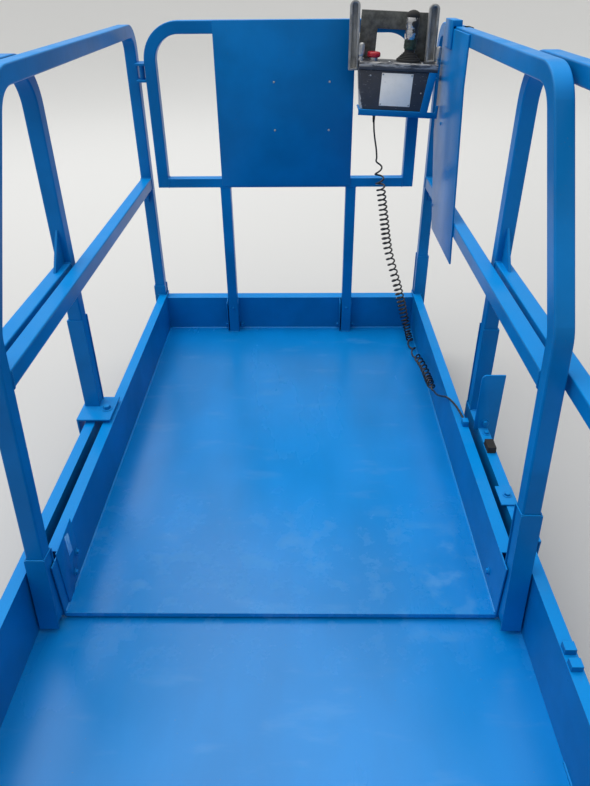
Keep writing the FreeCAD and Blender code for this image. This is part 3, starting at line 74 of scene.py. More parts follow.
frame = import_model()
DECK_LOW, DECK_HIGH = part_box("ext_deck")
SEAM = Vector((0, DECK_LOW.y, DECK_HIGH.z))
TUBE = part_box("ext_rail_left")[1].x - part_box("ext_rail_left")[0].x
EXT_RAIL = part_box("ext_rail_right")[1].x - TUBE / 2
MAIN_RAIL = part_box("main_rail_right")[1].x - TUBE / 2
SIDES = (-1, 1)
RIGHT, FORWARD, UP = Vector((1, 0, 0)), Vector((0, 1, 0)), Vector((0, 0, 1))
BOX_LEAN = math.radians(3)
REAR_LEAN = math.radians(6.6)

# Places and sizes in millimetres, from the seam and the roll-out deck's surface.
HALF_TUBE = 19
MID_RAIL = 585
TOP_RAIL_UNDERSIDE = 1056
TOE_TOP = 147
FIXED_TOE = 544
MAIN_DECK = -18
BOX_TURNS_AT = (347, 0, 850)
BOX_FRONT = 1298
LID_TOP = 990
STICK = (380.5, 1340.5)
FIXED_POSTS = (631, -480, -1575)
ROLL_OUT_POST = 1447.5
FRONT_LEGS = (-225, 225)

BLUE_NODES = (
    "main_toe_left", "main_toe_right", "cross_members", "deck_headers", "scissor_track_left",
    "scissor_track_right", "main_rail_left", "main_rail_right", "main_sockets_left",
    "main_sockets_right", "rear_rail_left", "rear_rail_right", "gate_frame", "gate_kick_plate",
    "gate_stop", "ext_stiffeners", "ext_toe_left", "ext_toe_right", "ext_toe_front", "ext_rail_left",
    "ext_rail_right", "ext_sockets_left", "ext_sockets_right", "front_frame", "front_legs",
    "rail_clamps", "gate_hinges", "gate_barrels", "rail_stops", "pivot_boss_left", "pivot_boss_right")


def spot(x, y, z):
    """A place in millimetres from the seam's middle and the roll-out deck's surface."""
    return SEAM + Vector((x, y, z)) / 1000


def box_spot(x, y, z):
    """A place on the control box in millimetres, turned as the box leans about its base."""
    base = Vector(BOX_TURNS_AT)
    return spot(*(base + BOX_TURN @ (Vector((x, y, z)) - base)))


BOX_TURN = Matrix.Rotation(BOX_LEAN, 3, "Y")
BOX_UP = BOX_TURN @ UP
BOX_BASE = box_spot(BOX_TURNS_AT[0], BOX_FRONT, BOX_TURNS_AT[2])


class Wire:
    """An output of a finish's nodes. Sums written with it add the Math nodes."""

    def __init__(self, finish, socket):
        self.finish = finish
        self.socket = socket

    def __add__(self, other):
        return self.finish.maths("ADD", self, other)

    __radd__ = __add__

    def __sub__(self, other):
        return self.finish.maths("SUBTRACT", self, other)

    def __rsub__(self, other):
        return self.finish.maths("SUBTRACT", other, self)

    def __mul__(self, other):
        return self.finish.maths("MULTIPLY", self, other)

    __rmul__ = __mul__


class Finish:
    """A material of the platform, made of nodes round one Principled shader."""

    def __init__(self, name, roughness, metallic=0.0):
        self.material = bpy.data.materials.new(name)
        self.material.use_nodes = True
        self.tree = self.material.node_tree
        self.shader = self.tree.nodes["Principled BSDF"]
        self.shader.inputs["Roughness"].default_value = roughness
        self.shader.inputs["Metallic"].default_value = metallic
        self.place = self.node("TexCoord", output="Object")

    def node(self, kind, settings=None, sockets=None, output=0):
        """Add a node: its settings first, then the values or links of its sockets."""
        node = self.tree.nodes.new("ShaderNode" + kind)
        for name, setting in (settings or {}).items():
            if name == "stops":
                self.ramp_stops(node.color_ramp, setting)
            else:
                setattr(node, name, setting)
        for name, value in (sockets or {}).items():
            self.feed(node.inputs[name], value)
        return Wire(self, node.outputs[output])

    def ramp_stops(self, ramp, stops):
        for number, (position, level) in enumerate(stops):
            stop = ramp.elements[number] if number < 2 else ramp.elements.new(position)
            stop.position = position
            stop.color = (level, level, level, 1)

    def feed(self, socket, value):
        if isinstance(value, Wire):
            self.tree.links.new(value.socket, socket)
        else:
            socket.default_value = value

    def maths(self, operation, first, second=0.0):
        return self.node("Math", {"operation": operation}, {0: first, 1: second})

    def step(self, value, low, high):
        """0 below low, 1 above high, and a smooth change between."""
        return self.node("MapRange", {"interpolation_type": "SMOOTHSTEP"},
                         {"Value": value, "From Min": low, "From Max": high})

    def cloud(self, scale, detail=4.0, rough=0.55, stretch=None):
        """Noise over the piece, from 0 to 1, stretched along one axis if told to."""
        place = self.place
        if stretch:
            place = self.node("VectorMath", {"operation": "MULTIPLY"}, {0: place, 1: stretch})
        return self.node("TexNoise", {}, {"Vector": place, "Scale": scale, "Detail": detail,
                                          "Roughness": rough})

    def patches(self, low, high, *cloud, **stretch):
        """A mask of the places where a cloud is thick."""
        return self.step(self.cloud(*cloud, **stretch), low, high)

    def tint(self, mask, first, second):
        """A colour between two, by a mask."""
        return self.node("Mix", {"data_type": "RGBA"}, {0: mask, 6: first, 7: second}, 2)

    def along(self, axis):
        """How far along an axis of the frame the surface lies."""
        return self.node("SeparateXYZ", {}, {0: self.place}, axis)

    def facing(self, axis):
        """The part of the surface's normal along an axis of the frame."""
        normal = self.node("NewGeometry", output="Normal")
        return self.node("SeparateXYZ", {}, {0: normal}, axis)

    def rounded(self, radius):
        """A normal that runs round the steel's edges, and a mask of those edges."""
        soft = self.node("Bevel", {"samples": 6}, {"Radius": radius})
        flat = self.node("NewGeometry", output="True Normal")
        same = self.node("VectorMath", {"operation": "DOT_PRODUCT"}, {0: soft, 1: flat}, "Value")
        return soft, self.step(1 - same, 0.02, 0.2)

    def bump(self, height, depth, normal=None):
        sockets = {"Height": height, "Distance": depth, "Strength": 1.0}
        if normal:
            sockets["Normal"] = normal
        self.feed(self.shader.inputs["Normal"], self.node("Bump", {}, sockets))

    def colour(self, value):
        self.feed(self.shader.inputs["Base Color"], value)

    def roughness(self, value):
        self.feed(self.shader.inputs["Roughness"], value)

    def metal(self, value):
        self.feed(self.shader.inputs["Metallic"], value)


def shade(colour, level):
    """A paint colour made lighter or darker."""
    return tuple(min(1.0, part * level) for part in colour[:3]) + (1.0,)


def gloss_blue(settings):
    """Gloss paint laid on by brush and roller: thick at places, thin and worn on the edges, with a painted
    highlight along the edges and painted top light on the up-facing faces.
    """
    paint = Finish("gloss_blue", 0.3)
    paint.shader.inputs["Specular IOR Level"].default_value = 0.12
    blue = settings.rail_colour
    patches = paint.cloud(4.0, 5.0)
    flow = paint.cloud(26.0, 3.0, stretch=(1, 1, 0.35))
    soft, edge = paint.rounded(0.0016)
    coat = paint.tint(paint.step(patches, 0.35, 0.7), shade(blue, 0.86), shade(blue, 1.12))
    up = paint.step(paint.facing("Z"), 0.45, 0.95)
    # Painted top light: the up-facing faces are tinted towards a lighter blue, as if lit more from above.
    lighter_tops = paint.tint(up * 0.85, coat, shade(settings.deck_colour, 1.15))
    film = up * paint.patches(0.42, 0.75, 9.0, 6.0)
    dusty = paint.tint(film * 0.08, lighter_tops, (0.2, 0.4, 0.6, 1))
    # The edges are tinted a lighter blue: paint thinned there, and a painted highlight along them.
    thin = edge * paint.patches(0.38, 0.62, 55.0, 3.0)
    edged = paint.tint(thin * settings.edge_wear, dusty, (0.05, 0.3, 0.62, 1))
    chips = paint.patches(0.665, 0.69, 210.0, 2.0) * paint.patches(0.56, 0.66, 12.0, 3.0)
    chipped = paint.tint(chips * (0.25 + 0.75 * edge), edged, (0.1, 0.115, 0.13, 1))
    paint.colour(chipped)
    paint.roughness(0.25 + 0.1 * flow + 0.22 * film + 0.25 * chips)
    sag = 0.75 * flow + 0.25 * paint.cloud(240.0, 2.0)
    paint.bump(sag - 0.35 * chips, settings.brush_depth / 1000, soft)
    return paint.material


def gloss_deck(settings):
    """Floor paint on the deck plates: rolled on, walked on and scuffed near the seam, with a painted
    highlight along its edges.
    """
    paint = Finish("gloss_deck", 0.24)
    paint.shader.inputs["Specular IOR Level"].default_value = 0.4
    blue = settings.deck_colour
    wide = paint.cloud(1.7, 3.0)
    rolled = paint.cloud(5.5, 5.0, stretch=(1, 0.3, 1))
    soft, edge = paint.rounded(0.0016)
    coat = paint.tint(paint.step(0.6 * wide + 0.4 * rolled, 0.36, 0.66), shade(blue, 0.88), shade(blue, 1.1))
    along = paint.along("Y")
    near_seam = 1 - paint.step(paint.maths("ABSOLUTE", along - (SEAM.y + 0.12)), 0.02, 0.34)
    worn = near_seam * paint.patches(0.5, 0.68, 15.0, 8.0, 0.65)
    walked = paint.tint(worn * settings.scuffs, coat, (0.16, 0.42, 0.74, 1))
    smears = paint.step(paint.cloud(6.0, 4.0, stretch=(1, 3, 1)), 0.56, 0.74)
    smeared = paint.tint(smears * 0.1, walked, (0.2, 0.48, 0.8, 1))
    specks = paint.patches(0.75, 0.77, 150.0, 2.0)
    dirty = paint.tint(specks * 0.35, smeared, (0.09, 0.13, 0.17, 1))
    # Painted highlight: the edges of the deck plates are tinted a lighter blue.
    paint.colour(paint.tint(edge * 0.55, dirty, (0.08, 0.46, 0.86, 1)))
    paint.roughness(0.2 + 0.12 * rolled + 0.2 * worn + 0.12 * specks)
    stipple = 0.62 * wide + 0.33 * paint.cloud(12.0, 2.0) + 0.05 * paint.cloud(420.0, 2.0)
    paint.bump(stipple, settings.brush_depth / 1000 * 2.2, soft)
    return paint.material


def satin_grey(settings):
    """The control box's dark paint, rubbed down to bright steel along its edges."""
    paint = Finish("satin_grey", 0.42)
    grey = settings.box_colour
    soft, edge = paint.rounded(0.0022)
    patches = paint.cloud(30.0, 6.0, 0.6)
    coat = paint.tint(patches, shade(grey, 0.7), shade(grey, 1.5))
    dust = paint.step(paint.facing("Z"), 0.3, 0.95) * paint.patches(0.4, 0.7, 60.0, 5.0)
    dusty = paint.tint(dust * 0.35, coat, (0.2, 0.185, 0.16, 1))
    across = paint.along("X")
    height = paint.along("Z")
    knock = spot(238, BOX_FRONT, 860)
    low_corner = 1 - paint.step(across - knock.x + 0.2 * (height - knock.z), 0.0, 0.019)
    rubbed = paint.step(edge * 0.9 + 0.7 * low_corner + paint.cloud(120.0, 6.0) * 0.55, 0.74, 0.88)
    marks = paint.step(paint.cloud(70.0, 2.0, stretch=(1, 1, 7)), 0.71, 0.73)
    bare = paint.maths("MAXIMUM", rubbed, marks * 0.5)
    paint.colour(paint.tint(bare, dusty, (0.56, 0.56, 0.55, 1)))
    paint.metal(bare * 0.5)
    paint.roughness(0.38 + 0.15 * patches + 0.2 * dust - 0.08 * bare)
    paint.bump(paint.cloud(300.0, 3.0) - 0.6 * bare, 0.00012, soft)
    return paint.material


def rubbed_lid(settings):
    """The lid's paint, scored to bright steel along the edge where hands and tools rest."""
    paint = Finish("rubbed_lid", 0.4)
    grey = settings.box_colour
    soft, edge = paint.rounded(0.0022)
    patches = paint.cloud(34.0, 6.0, 0.6)
    coat = paint.tint(patches, shade(grey, 0.5), shade(grey, 1.9))
    scores = paint.step(paint.cloud(24.0, 7.0, 0.7, stretch=(1, 1, 6)), 0.4, 0.56)
    facing_user = 1 - paint.step(paint.facing("Y"), -0.7, -0.2)
    across = paint.along("X") - BOX_BASE.x
    height = paint.along("Z") + math.sin(BOX_LEAN) * across
    scored = scores * facing_user * paint.step(height, BOX_BASE.z + 0.122, BOX_BASE.z + 0.13)
    bare = paint.maths("MAXIMUM", paint.step(edge + 0.4 * patches, 0.55, 0.9), scored)
    paint.colour(paint.tint(bare * 0.8, coat, (0.58, 0.57, 0.54, 1)))
    paint.metal(bare * 0.3)
    paint.roughness(0.34 + 0.2 * patches)
    paint.bump(paint.cloud(300.0, 3.0) - 0.6 * bare, 0.00014, soft)
    return paint.material


def pale_hoop(settings):
    """The hoops' bare grey steel, streaked light and dark along their length, its edges paler: polished steel
    and a painted rim highlight.
    """
    steel = Finish("pale_hoop", 0.45)
    soft, edge = steel.rounded(0.003)
    streaks = steel.cloud(60.0, 6.0, 0.6, stretch=(1, 1, 0.12))
    grime = steel.patches(0.42, 0.7, 24.0, 6.0, 0.65)
    tone = steel.tint(steel.step(streaks, 0.34, 0.68), (0.19, 0.195, 0.19, 1), (0.5, 0.5, 0.48, 1))
    grimy = steel.tint(grime * 0.5, tone, (0.05, 0.055, 0.06, 1))
    # The edges are tinted pale: polished steel, and a painted rim highlight.
    steel.colour(steel.tint(edge * 0.7, grimy, (0.5, 0.5, 0.49, 1)))
    steel.metal(0.15 + 0.4 * edge)
    steel.roughness(0.36 + 0.25 * grime)
    steel.bump(streaks + 0.3 * grime, 0.0002, soft)
    return steel.material


def grey_guard(settings):
    """Worn dark paint of the guard plate, with grime in the hollows and bright rims."""
    paint = Finish("grey_guard", 0.5)
    soft, edge = paint.rounded(0.003)
    patches = paint.cloud(45.0, 7.0, 0.65)
    coat = paint.tint(paint.step(patches, 0.3, 0.72), (0.04, 0.042, 0.038, 1), (0.125, 0.13, 0.118, 1))
    worn = paint.step(edge + paint.cloud(90.0, 5.0) * 0.5, 0.62, 0.98)
    paint.colour(paint.tint(worn * 0.85, coat, (0.36, 0.36, 0.35, 1)))
    paint.metal(worn * 0.55)
    paint.roughness(0.4 + 0.2 * patches)
    paint.bump(paint.cloud(260.0, 4.0) - 0.4 * worn, 0.0002, soft)
    return paint.material


def zinc_steel(settings):
    """Zinc-plated steel of bolts, knobs and pins, dull with a few rusty specks."""
    plating = Finish("zinc_steel", 0.35, 0.9)
    grain = plating.cloud(180.0, 4.0)
    tone = plating.tint(grain, (0.34, 0.35, 0.36, 1), (0.62, 0.62, 0.6, 1))
    rust = plating.patches(0.62, 0.72, 70.0, 6.0, 0.7)
    plating.colour(plating.tint(rust * 0.8, tone, (0.15, 0.06, 0.025, 1)))
    plating.metal(0.9 - 0.7 * rust)
    plating.roughness(0.28 + 0.2 * grain + 0.35 * rust)
    plating.bump(grain + 0.6 * rust, 0.0001)
    return plating.material


def chrome_cap(settings):
    """The joystick's metal top: chrome, turned black on the side towards +x as painted shade, with a patchy
    border.
    """
    chrome = Finish("chrome_cap", 0.14, 1.0)
    smears = chrome.cloud(55.0, 5.0)
    across = chrome.along("X") - box_spot(*STICK, 1085).x
    # Painted shade: the side towards +x is made black and dull, its border broken up by noise.
    coat = chrome.step(chrome.cloud(62.0, 3.0) + 14 * across, 0.5, 0.58)
    bright = chrome.tint(smears, (0.42, 0.43, 0.45, 1), (0.72, 0.72, 0.72, 1))
    chrome.colour(chrome.tint(coat, bright, (0.02, 0.022, 0.024, 1)))
    chrome.metal(0.95 - 0.9 * coat)
    chrome.roughness(0.16 + 0.2 * smears + 0.2 * coat)
    chrome.bump(smears + 0.5 * coat, 0.0003)
    return chrome.material


def green_grip(settings):
    """The joystick's dark green grip, blackened by use."""
    grip = Finish("green_grip", 0.5)
    soil = grip.patches(0.35, 0.65, 70.0, 5.0)
    grip.colour(grip.tint(soil, (0.016, 0.06, 0.04, 1), (0.012, 0.02, 0.017, 1)))
    grip.roughness(0.42 + 0.25 * soil)
    grip.bump(grip.cloud(300.0, 3.0), 0.00015)
    return grip.material


def black_rubber(settings):
    """Moulded rubber, grey where it has rubbed."""
    rubber = Finish("black_rubber", 0.65)
    soft, edge = rubber.rounded(0.001)
    grain = rubber.cloud(320.0, 4.0)
    chalk = rubber.patches(0.45, 0.75, 40.0, 6.0)
    rubber.colour(rubber.tint(0.45 * chalk + 0.3 * edge, (0.009, 0.009, 0.01, 1), (0.05, 0.05, 0.052, 1)))
    rubber.roughness(0.55 + 0.25 * chalk)
    rubber.bump(grain, 0.0002, soft)
    return rubber.material


def cord_sheath(settings):
    """The cord's black sheath, satin with dust on top."""
    sheath = Finish("cord_sheath", 0.24)
    dust = sheath.step(sheath.facing("Z"), 0.2, 1.0) * sheath.patches(0.35, 0.75, 60.0, 5.0)
    sheath.colour(sheath.tint(dust * 0.3, (0.012, 0.012, 0.013, 1), (0.09, 0.085, 0.08, 1)))
    sheath.roughness(0.2 + 0.3 * dust)
    sheath.bump(sheath.cloud(500.0, 2.0), 0.00005)
    return sheath.material


def red_button(settings):
    """The stop button's red plastic, faded on top."""
    plastic = Finish("red_button", 0.3)
    lighter_tops = plastic.patches(0.35, 0.75, 90.0, 5.0) * plastic.step(plastic.facing("Z"), 0.2, 1.0)
    plastic.colour(plastic.tint(lighter_tops * 0.6, (0.42, 0.009, 0.022, 1), (0.52, 0.05, 0.06, 1)))
    plastic.roughness(0.24 + 0.2 * lighter_tops)
    plastic.bump(plastic.cloud(200.0, 3.0), 0.00008)
    return plastic.material


def plate_white(settings):
    """The blank plate on the control box: white, yellowed and rubbed at its edges."""
    plate = Finish("plate_white", 0.4)
    stains = plate.patches(0.42, 0.72, 38.0, 7.0, 0.65)
    scrapes = plate.step(plate.cloud(85.0, 3.0, stretch=(1, 1, 5)), 0.68, 0.7)
    aged = plate.tint(stains * 0.25, (1.0, 0.97, 0.89, 1), (0.78, 0.75, 0.66, 1))
    plate.colour(plate.tint(scrapes * 0.7, aged, (0.24, 0.25, 0.26, 1)))
    plate.roughness(0.34 + 0.25 * stains)
    plate.bump(stains - scrapes, 0.00006)
    return plate.material


def painted_sky_reflection(settings):
    """A painted sky reflection on the pale strip in the slotted plate: blue painted nearly white in streaks.
    """
    paint = Finish("painted_sky_reflection", 0.3)
    streaks = paint.cloud(80.0, 5.0, 0.6, stretch=(1, 1, 0.3))
    # Painted reflection: the strip's blue is lightened nearly to white in streaks.
    paint.colour(paint.tint(paint.step(streaks, 0.35, 0.65), (0.05, 0.36, 0.8, 1), (0.4, 0.74, 0.98, 1)))
    paint.roughness(0.24 + 0.2 * streaks)
    paint.bump(streaks, 0.0001)
    return paint.material


def nylon_pad(settings):
    """Dark nylon of the wear pads, polished by sliding."""
    nylon = Finish("nylon_pad", 0.45)
    soft = nylon.rounded(0.001)[0]
    runs = nylon.cloud(60.0, 4.0, stretch=(1, 0.12, 1))
    nylon.colour(nylon.tint(runs, (0.03, 0.03, 0.032, 1), (0.085, 0.085, 0.09, 1)))
    nylon.roughness(0.3 + 0.3 * runs)
    nylon.bump(runs, 0.00015, soft)
    return nylon.material


FINISHES = {
    "blue_paint": gloss_blue, "deck_paint": gloss_deck, "box_paint": satin_grey,
    "worn_steel": grey_guard, "bare_steel": zinc_steel, "black_rubber": black_rubber,
    "cord_black": cord_sheath, "red_plastic": red_button, "wear_pad": nylon_pad,
    "plate": plate_white, "chrome": chrome_cap, "grip": green_grip, "lid": rubbed_lid,
    "hoop": pale_hoop, "sky_reflection": painted_sky_reflection}


def finish(name):
    """The material of a slot or of a bare trim, made once."""
    found = bpy.data.materials.get(FINISHES[name].__name__)
    return found or FINISHES[name](bpy.context.scene.platform_paint)


def stand(place, axis, turn=0.0):
    """The matrix that stands a shape drawn along Z on a place, along an axis."""
    return (Matrix.Translation(place) @ Vector(axis).to_track_quat("Z", "Y").to_matrix().to_4x4()
            @ Matrix.Rotation(turn, 4, "Z"))


def placed(name, data):
    """A new object in the scene."""
    piece = bpy.data.objects.new(name, data)
    bpy.context.scene.collection.objects.link(piece)
    return piece


class Workpiece:
    """The mesh of one piece, gathered from turned, swept and pressed shapes in metres."""

    def __init__(self):
        self.points = []
        self.faces = []

    def add(self, points, faces):
        start = len(self.points)
        self.points += [tuple(point) for point in points]
        self.faces += [tuple(start + corner for corner in face) for face in faces]

    def skin(self, points, sides, count, closed=False):
        """Join the points of a run of rings with faces, and shut its ends if it has any."""
        faces = []
        for number in range(count if closed else count - 1):
            other = (number + 1) % count
            for corner in range(sides):
                turn = (corner + 1) % sides
                faces.append((number * sides + corner, number * sides + turn,
                              other * sides + turn, other * sides + corner))
        if not closed:
            faces.append(tuple(reversed(range(sides))))
            faces.append(tuple(range((count - 1) * sides, count * sides)))
        self.add(points, faces)

    def turned(self, profile, where, sides=24):
        """A shape turned about an axis from (radius, height) in millimetres."""
        points = []
        for radius, height in profile:
            for side in range(sides):
                angle = math.tau * side / sides
                place = Vector((radius * math.cos(angle), radius * math.sin(angle), height))
                points.append(where @ (place / 1000))
        self.skin(points, sides, len(profile))

    def bolt(self, place, axis, flats=13.0, head=6.0, turn=0.2):
        """A hexagon head with a chamfer on a washer."""
        where = stand(place, axis, turn)
        rim, washer = flats * 0.78, flats * 0.82
        self.turned([(rim, 0), (washer, 0.4), (washer, 1.4), (rim, 1.8)], where, 20)
        corner = flats / 2 / math.cos(math.pi / 6)
        self.turned([(corner, 1.6), (corner, 0.82 * head + 1.6), (corner * 0.86, head + 1.6)], where, 6)

    def dome(self, place, axis, radius=5.0, height=2.6):
        """A round rivet or screw head."""
        profile = [(radius, 0), (radius, 0.3)]
        profile += [(radius * math.cos(angle), 0.3 + height * math.sin(angle))
                    for angle in (0.35, 0.75, 1.15, 1.4)]
        self.turned(profile, stand(place, axis), 16)

    def bead(self, route, radius, closed=False, sides=6, ripple=0.0, seed=0.0):
        """A bead swept along points, its radius rippled as a weld's is."""
        count = len(route)
        points = []
        side = None
        for number, point in enumerate(route):
            before = route[number - 1] if closed or number else point
            after = route[(number + 1) % count] if closed or number < count - 1 else point
            along = (after - before).normalized()
            if side is None:
                side = along.orthogonal().normalized()
            side = (side - along * side.dot(along)).normalized()
            up = along.cross(side)
            swell = 1 + ripple * (math.sin(number * 2.1 + seed) * 0.6
                                  + noise.noise(Vector((number * 0.31, seed, 0))) * 0.8)
            for corner in range(sides):
                angle = math.tau * corner / sides
                points.append(point + (side * math.cos(angle) + up * math.sin(angle)) * radius * swell)
        self.skin(points, sides, count, closed)

    def sheet(self, outline, thickness, edge=0.0):
        """A plate from an outline of places, thickened along its own normal and with eased edges."""
        shape = bmesh.new()
        face = shape.faces.new([shape.verts.new(point) for point in outline])
        face.normal_update()
        lifted = bmesh.ops.extrude_face_region(shape, geom=[face])["geom"]
        shift = face.normal * thickness
        corners = [part for part in lifted if isinstance(part, bmesh.types.BMVert)]
        bmesh.ops.translate(shape, vec=shift, verts=corners)
        bmesh.ops.recalc_face_normals(shape, faces=shape.faces)
        if edge:
            bmesh.ops.bevel(shape, geom=list(shape.edges), offset=edge, segments=2, profile=0.5,
                            affect="EDGES", clamp_overlap=True)
        shape.verts.index_update()
        self.add([vert.co.copy() for vert in shape.verts],
                 [[vert.index for vert in part.verts] for part in shape.faces])
        shape.free()

    def fit(self, name, finish_name, body, sharp=32.0):
        """Make the piece, paint it and let it ride on a body."""
        mesh = bpy.data.meshes.new(name)
        mesh.from_pydata(self.points, [], self.faces)
        mesh.validate()
        mesh.shade_smooth()
        mesh.set_sharp_from_angle(angle=math.radians(sharp))
        piece = placed(name, mesh)
        mesh.materials.append(finish(finish_name))
        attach(piece, body)
        return piece


def eased(node, radius, finish_name, steps=2):
    """Stand a copy of a CAD plate with rounded edges in the place of its plain node."""
    source = frame["nodes"][node]
    shape = bmesh.new()
    shape.from_mesh(source.data)
    bmesh.ops.remove_doubles(shape, verts=shape.verts, dist=1e-5)
    bmesh.ops.dissolve_limit(shape, angle_limit=math.radians(1), verts=shape.verts, edges=shape.edges)
    sharp = [edge for edge in shape.edges
             if len(edge.link_faces) == 2 and edge.calc_face_angle() > math.radians(25)]
    bmesh.ops.bevel(shape, geom=sharp, offset=radius / 1000, segments=steps, profile=0.5,
                    affect="EDGES", clamp_overlap=True)
    mesh = bpy.data.meshes.new(node + "_eased")
    shape.to_mesh(mesh)
    shape.free()
    mesh.shade_smooth()
    mesh.set_sharp_from_angle(angle=math.radians(40))
    mesh.materials.append(finish(finish_name))
    piece = placed(node + "_eased", mesh)
    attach(piece, source["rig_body"])
    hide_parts(node)
    return piece


def square_route(centre, across, up, half, lean=0.0, tall=1.0):
    """The places round the end of a tube: tall is its height to its width, and its face may lean."""
    corner, gap = 0.004, 0.0024
    route = []
    away = across.cross(up)
    for turn in range(4):
        first = Matrix.Rotation(turn * math.pi / 2, 2)
        runs = int(2 * (half - corner) / gap)
        for number in range(runs):
            flat = first @ Vector((half, -half + corner + 2 * (half - corner) * number / runs))
            route.append(flat)
        for number in range(3):
            angle = math.radians(30 * number)
            route.append(first @ Vector((half - corner + corner * math.cos(angle),
                                         half - corner + corner * math.sin(angle))))
    return [centre + across * flat.x + up * flat.y * tall + away * (flat.y * lean) for flat in route]


class PlatformPaint(bpy.types.PropertyGroup):
    """Colours and wear of the painted steel."""

    rail_colour: FloatVectorProperty(
        name="Rail Paint", description="Gloss paint of the guardrails and toe-boards",
        subtype="COLOR", size=3, min=0, max=1, default=(0.0008, 0.17, 0.48))
    # The deck paint, made lighter, is also the painted top light on the up-facing rail faces.
    deck_colour: FloatVectorProperty(
        name="Deck Paint", description="Floor paint of both decks, and of sun-faded tops",
        subtype="COLOR", size=3, min=0, max=1, default=(0.0008, 0.245, 0.67))
    box_colour: FloatVectorProperty(
        name="Box Paint", description="Dark paint of the control box",
        subtype="COLOR", size=3, min=0, max=1, default=(0.04, 0.043, 0.052))
    # Edge Wear also sets how strong the painted highlight along the rail edges is.
    edge_wear: FloatProperty(
        name="Edge Wear", description="How far the paint is thinned on the steel's edges",
        subtype="FACTOR", min=0, max=1, default=0.45)
    scuffs: FloatProperty(
        name="Scuffs", description="How much the decks are scuffed near the seam",
        subtype="FACTOR", min=0, max=1, default=0.22)
    brush_depth: FloatProperty(
        name="Brush Marks", description="Height of the brush marks in the paint, in millimetres",
        min=0, max=1, default=0.22)


class PlatformWelds(bpy.types.PropertyGroup):
    """Sizes of the weld beads."""

    bead: FloatProperty(
        name="Bead", description="Radius of the weld beads round the tubes",
        subtype="DISTANCE", unit="LENGTH", min=0.001, max=0.006, default=0.0026)
    ripple: FloatProperty(
        name="Ripple", description="How uneven the beads are",
        subtype="FACTOR", min=0, max=0.5, default=0.16)
    corner_bead: FloatProperty(
        name="Corner Bead", description="Radius of the paint-filled corner between deck and toe-board",
        subtype="DISTANCE", unit="LENGTH", min=0.001, max=0.006, default=0.004)


class PlatformCord(bpy.types.PropertyGroup):
    """Sizes of the control box's cord."""

    thickness: FloatProperty(
        name="Thickness", description="Diameter of the cord",
        subtype="DISTANCE", unit="LENGTH", min=0.003, max=0.012, default=0.006)
    curl: FloatProperty(
        name="Curl", description="Radius of the curly stretch, to the middle of the cord",
        subtype="DISTANCE", unit="LENGTH", min=0.006, max=0.02, default=0.0113)
    turn_points: IntProperty(
        name="Points a Turn", description="Control points on each turn of the curl",
        min=12, max=24, default=12)


class PlatformStage(bpy.types.PropertyGroup):
    """Camera, lamps and floor."""

    lens: FloatProperty(
        name="Lens", description="Focal length of the camera",
        subtype="DISTANCE_CAMERA", min=10, max=100, default=29.92)
    eye: FloatVectorProperty(
        name="Eye", description="Where the camera stands",
        subtype="TRANSLATION", unit="LENGTH", size=3, default=(0.0553, -0.912, 1.3764))
    down: FloatProperty(
        name="Down", description="How far the camera looks down",
        subtype="ANGLE", unit="ROTATION", default=math.radians(32.91))
    left: FloatProperty(
        name="Left", description="How far the camera is turned to the left",
        subtype="ANGLE", unit="ROTATION", default=math.radians(0.90))
    roll: FloatProperty(
        name="Roll", description="How far the camera is tipped to one side",
        subtype="ANGLE", unit="ROTATION", default=math.radians(-0.53))
    floor_colour: FloatVectorProperty(
        name="Floor", description="Colour of the floor and backdrop",
        subtype="COLOR", size=3, min=0, max=1, default=(0.57, 0.57, 0.56))
    sky: FloatProperty(
        name="Sky", description="Strength of the light all round", min=0, max=2, default=0.85)
    softbox: FloatProperty(
        name="Softbox", description="Power of the large lamp above, in watts",
        subtype="POWER", unit="POWER", min=0, max=500, default=170)


class PaintSteelwork(bpy.types.Operator):
    """Give every piece of the frame its finish"""

    bl_idname = "platform.paint_steelwork"
    bl_label = "Paint Steelwork"

    def execute(self, context):
        wanted = {node: "blue_paint" for node in BLUE_NODES}
        wanted.update({"main_deck": "deck_paint", "ext_deck": "deck_paint", "main_wear_pads": "wear_pad",
                       "ext_wear_pads": "wear_pad", "rubber_stop": "black_rubber"})
        for node, slot in wanted.items():
            piece = frame["nodes"][node]
            piece.data.materials.clear()
            piece.data.materials.append(finish(slot))
        return {"FINISHED"}


class EasePlates(bpy.types.Operator):
    """Round the edges of the cut plates and brackets"""

    bl_idname = "platform.ease_plates"
    bl_label = "Ease Plates"

    def execute(self, context):
        for node, radius in (("front_panel", 0.9), ("control_plate", 1.4), ("upright_plate", 1.6),
                             ("keeper_left", 1.6), ("bridge_plate", 1.4), ("side_clip", 1.2),
                             ("gusset_plate", 0.9), ("gate_latch", 1.2), ("box_cradle", 1.5),
                             ("cord_clip", 1.6), ("plate_hook", 1.5)):
            eased(node, radius, "blue_paint")
        eased("control_box", 3.0, "box_paint", 3)
        eased("box_lid", 2.0, "lid", 3)
        eased("box_guards", 1.6, "hoop")
        eased("guard_plate", 0.9, "worn_steel")
        return {"FINISHED"}


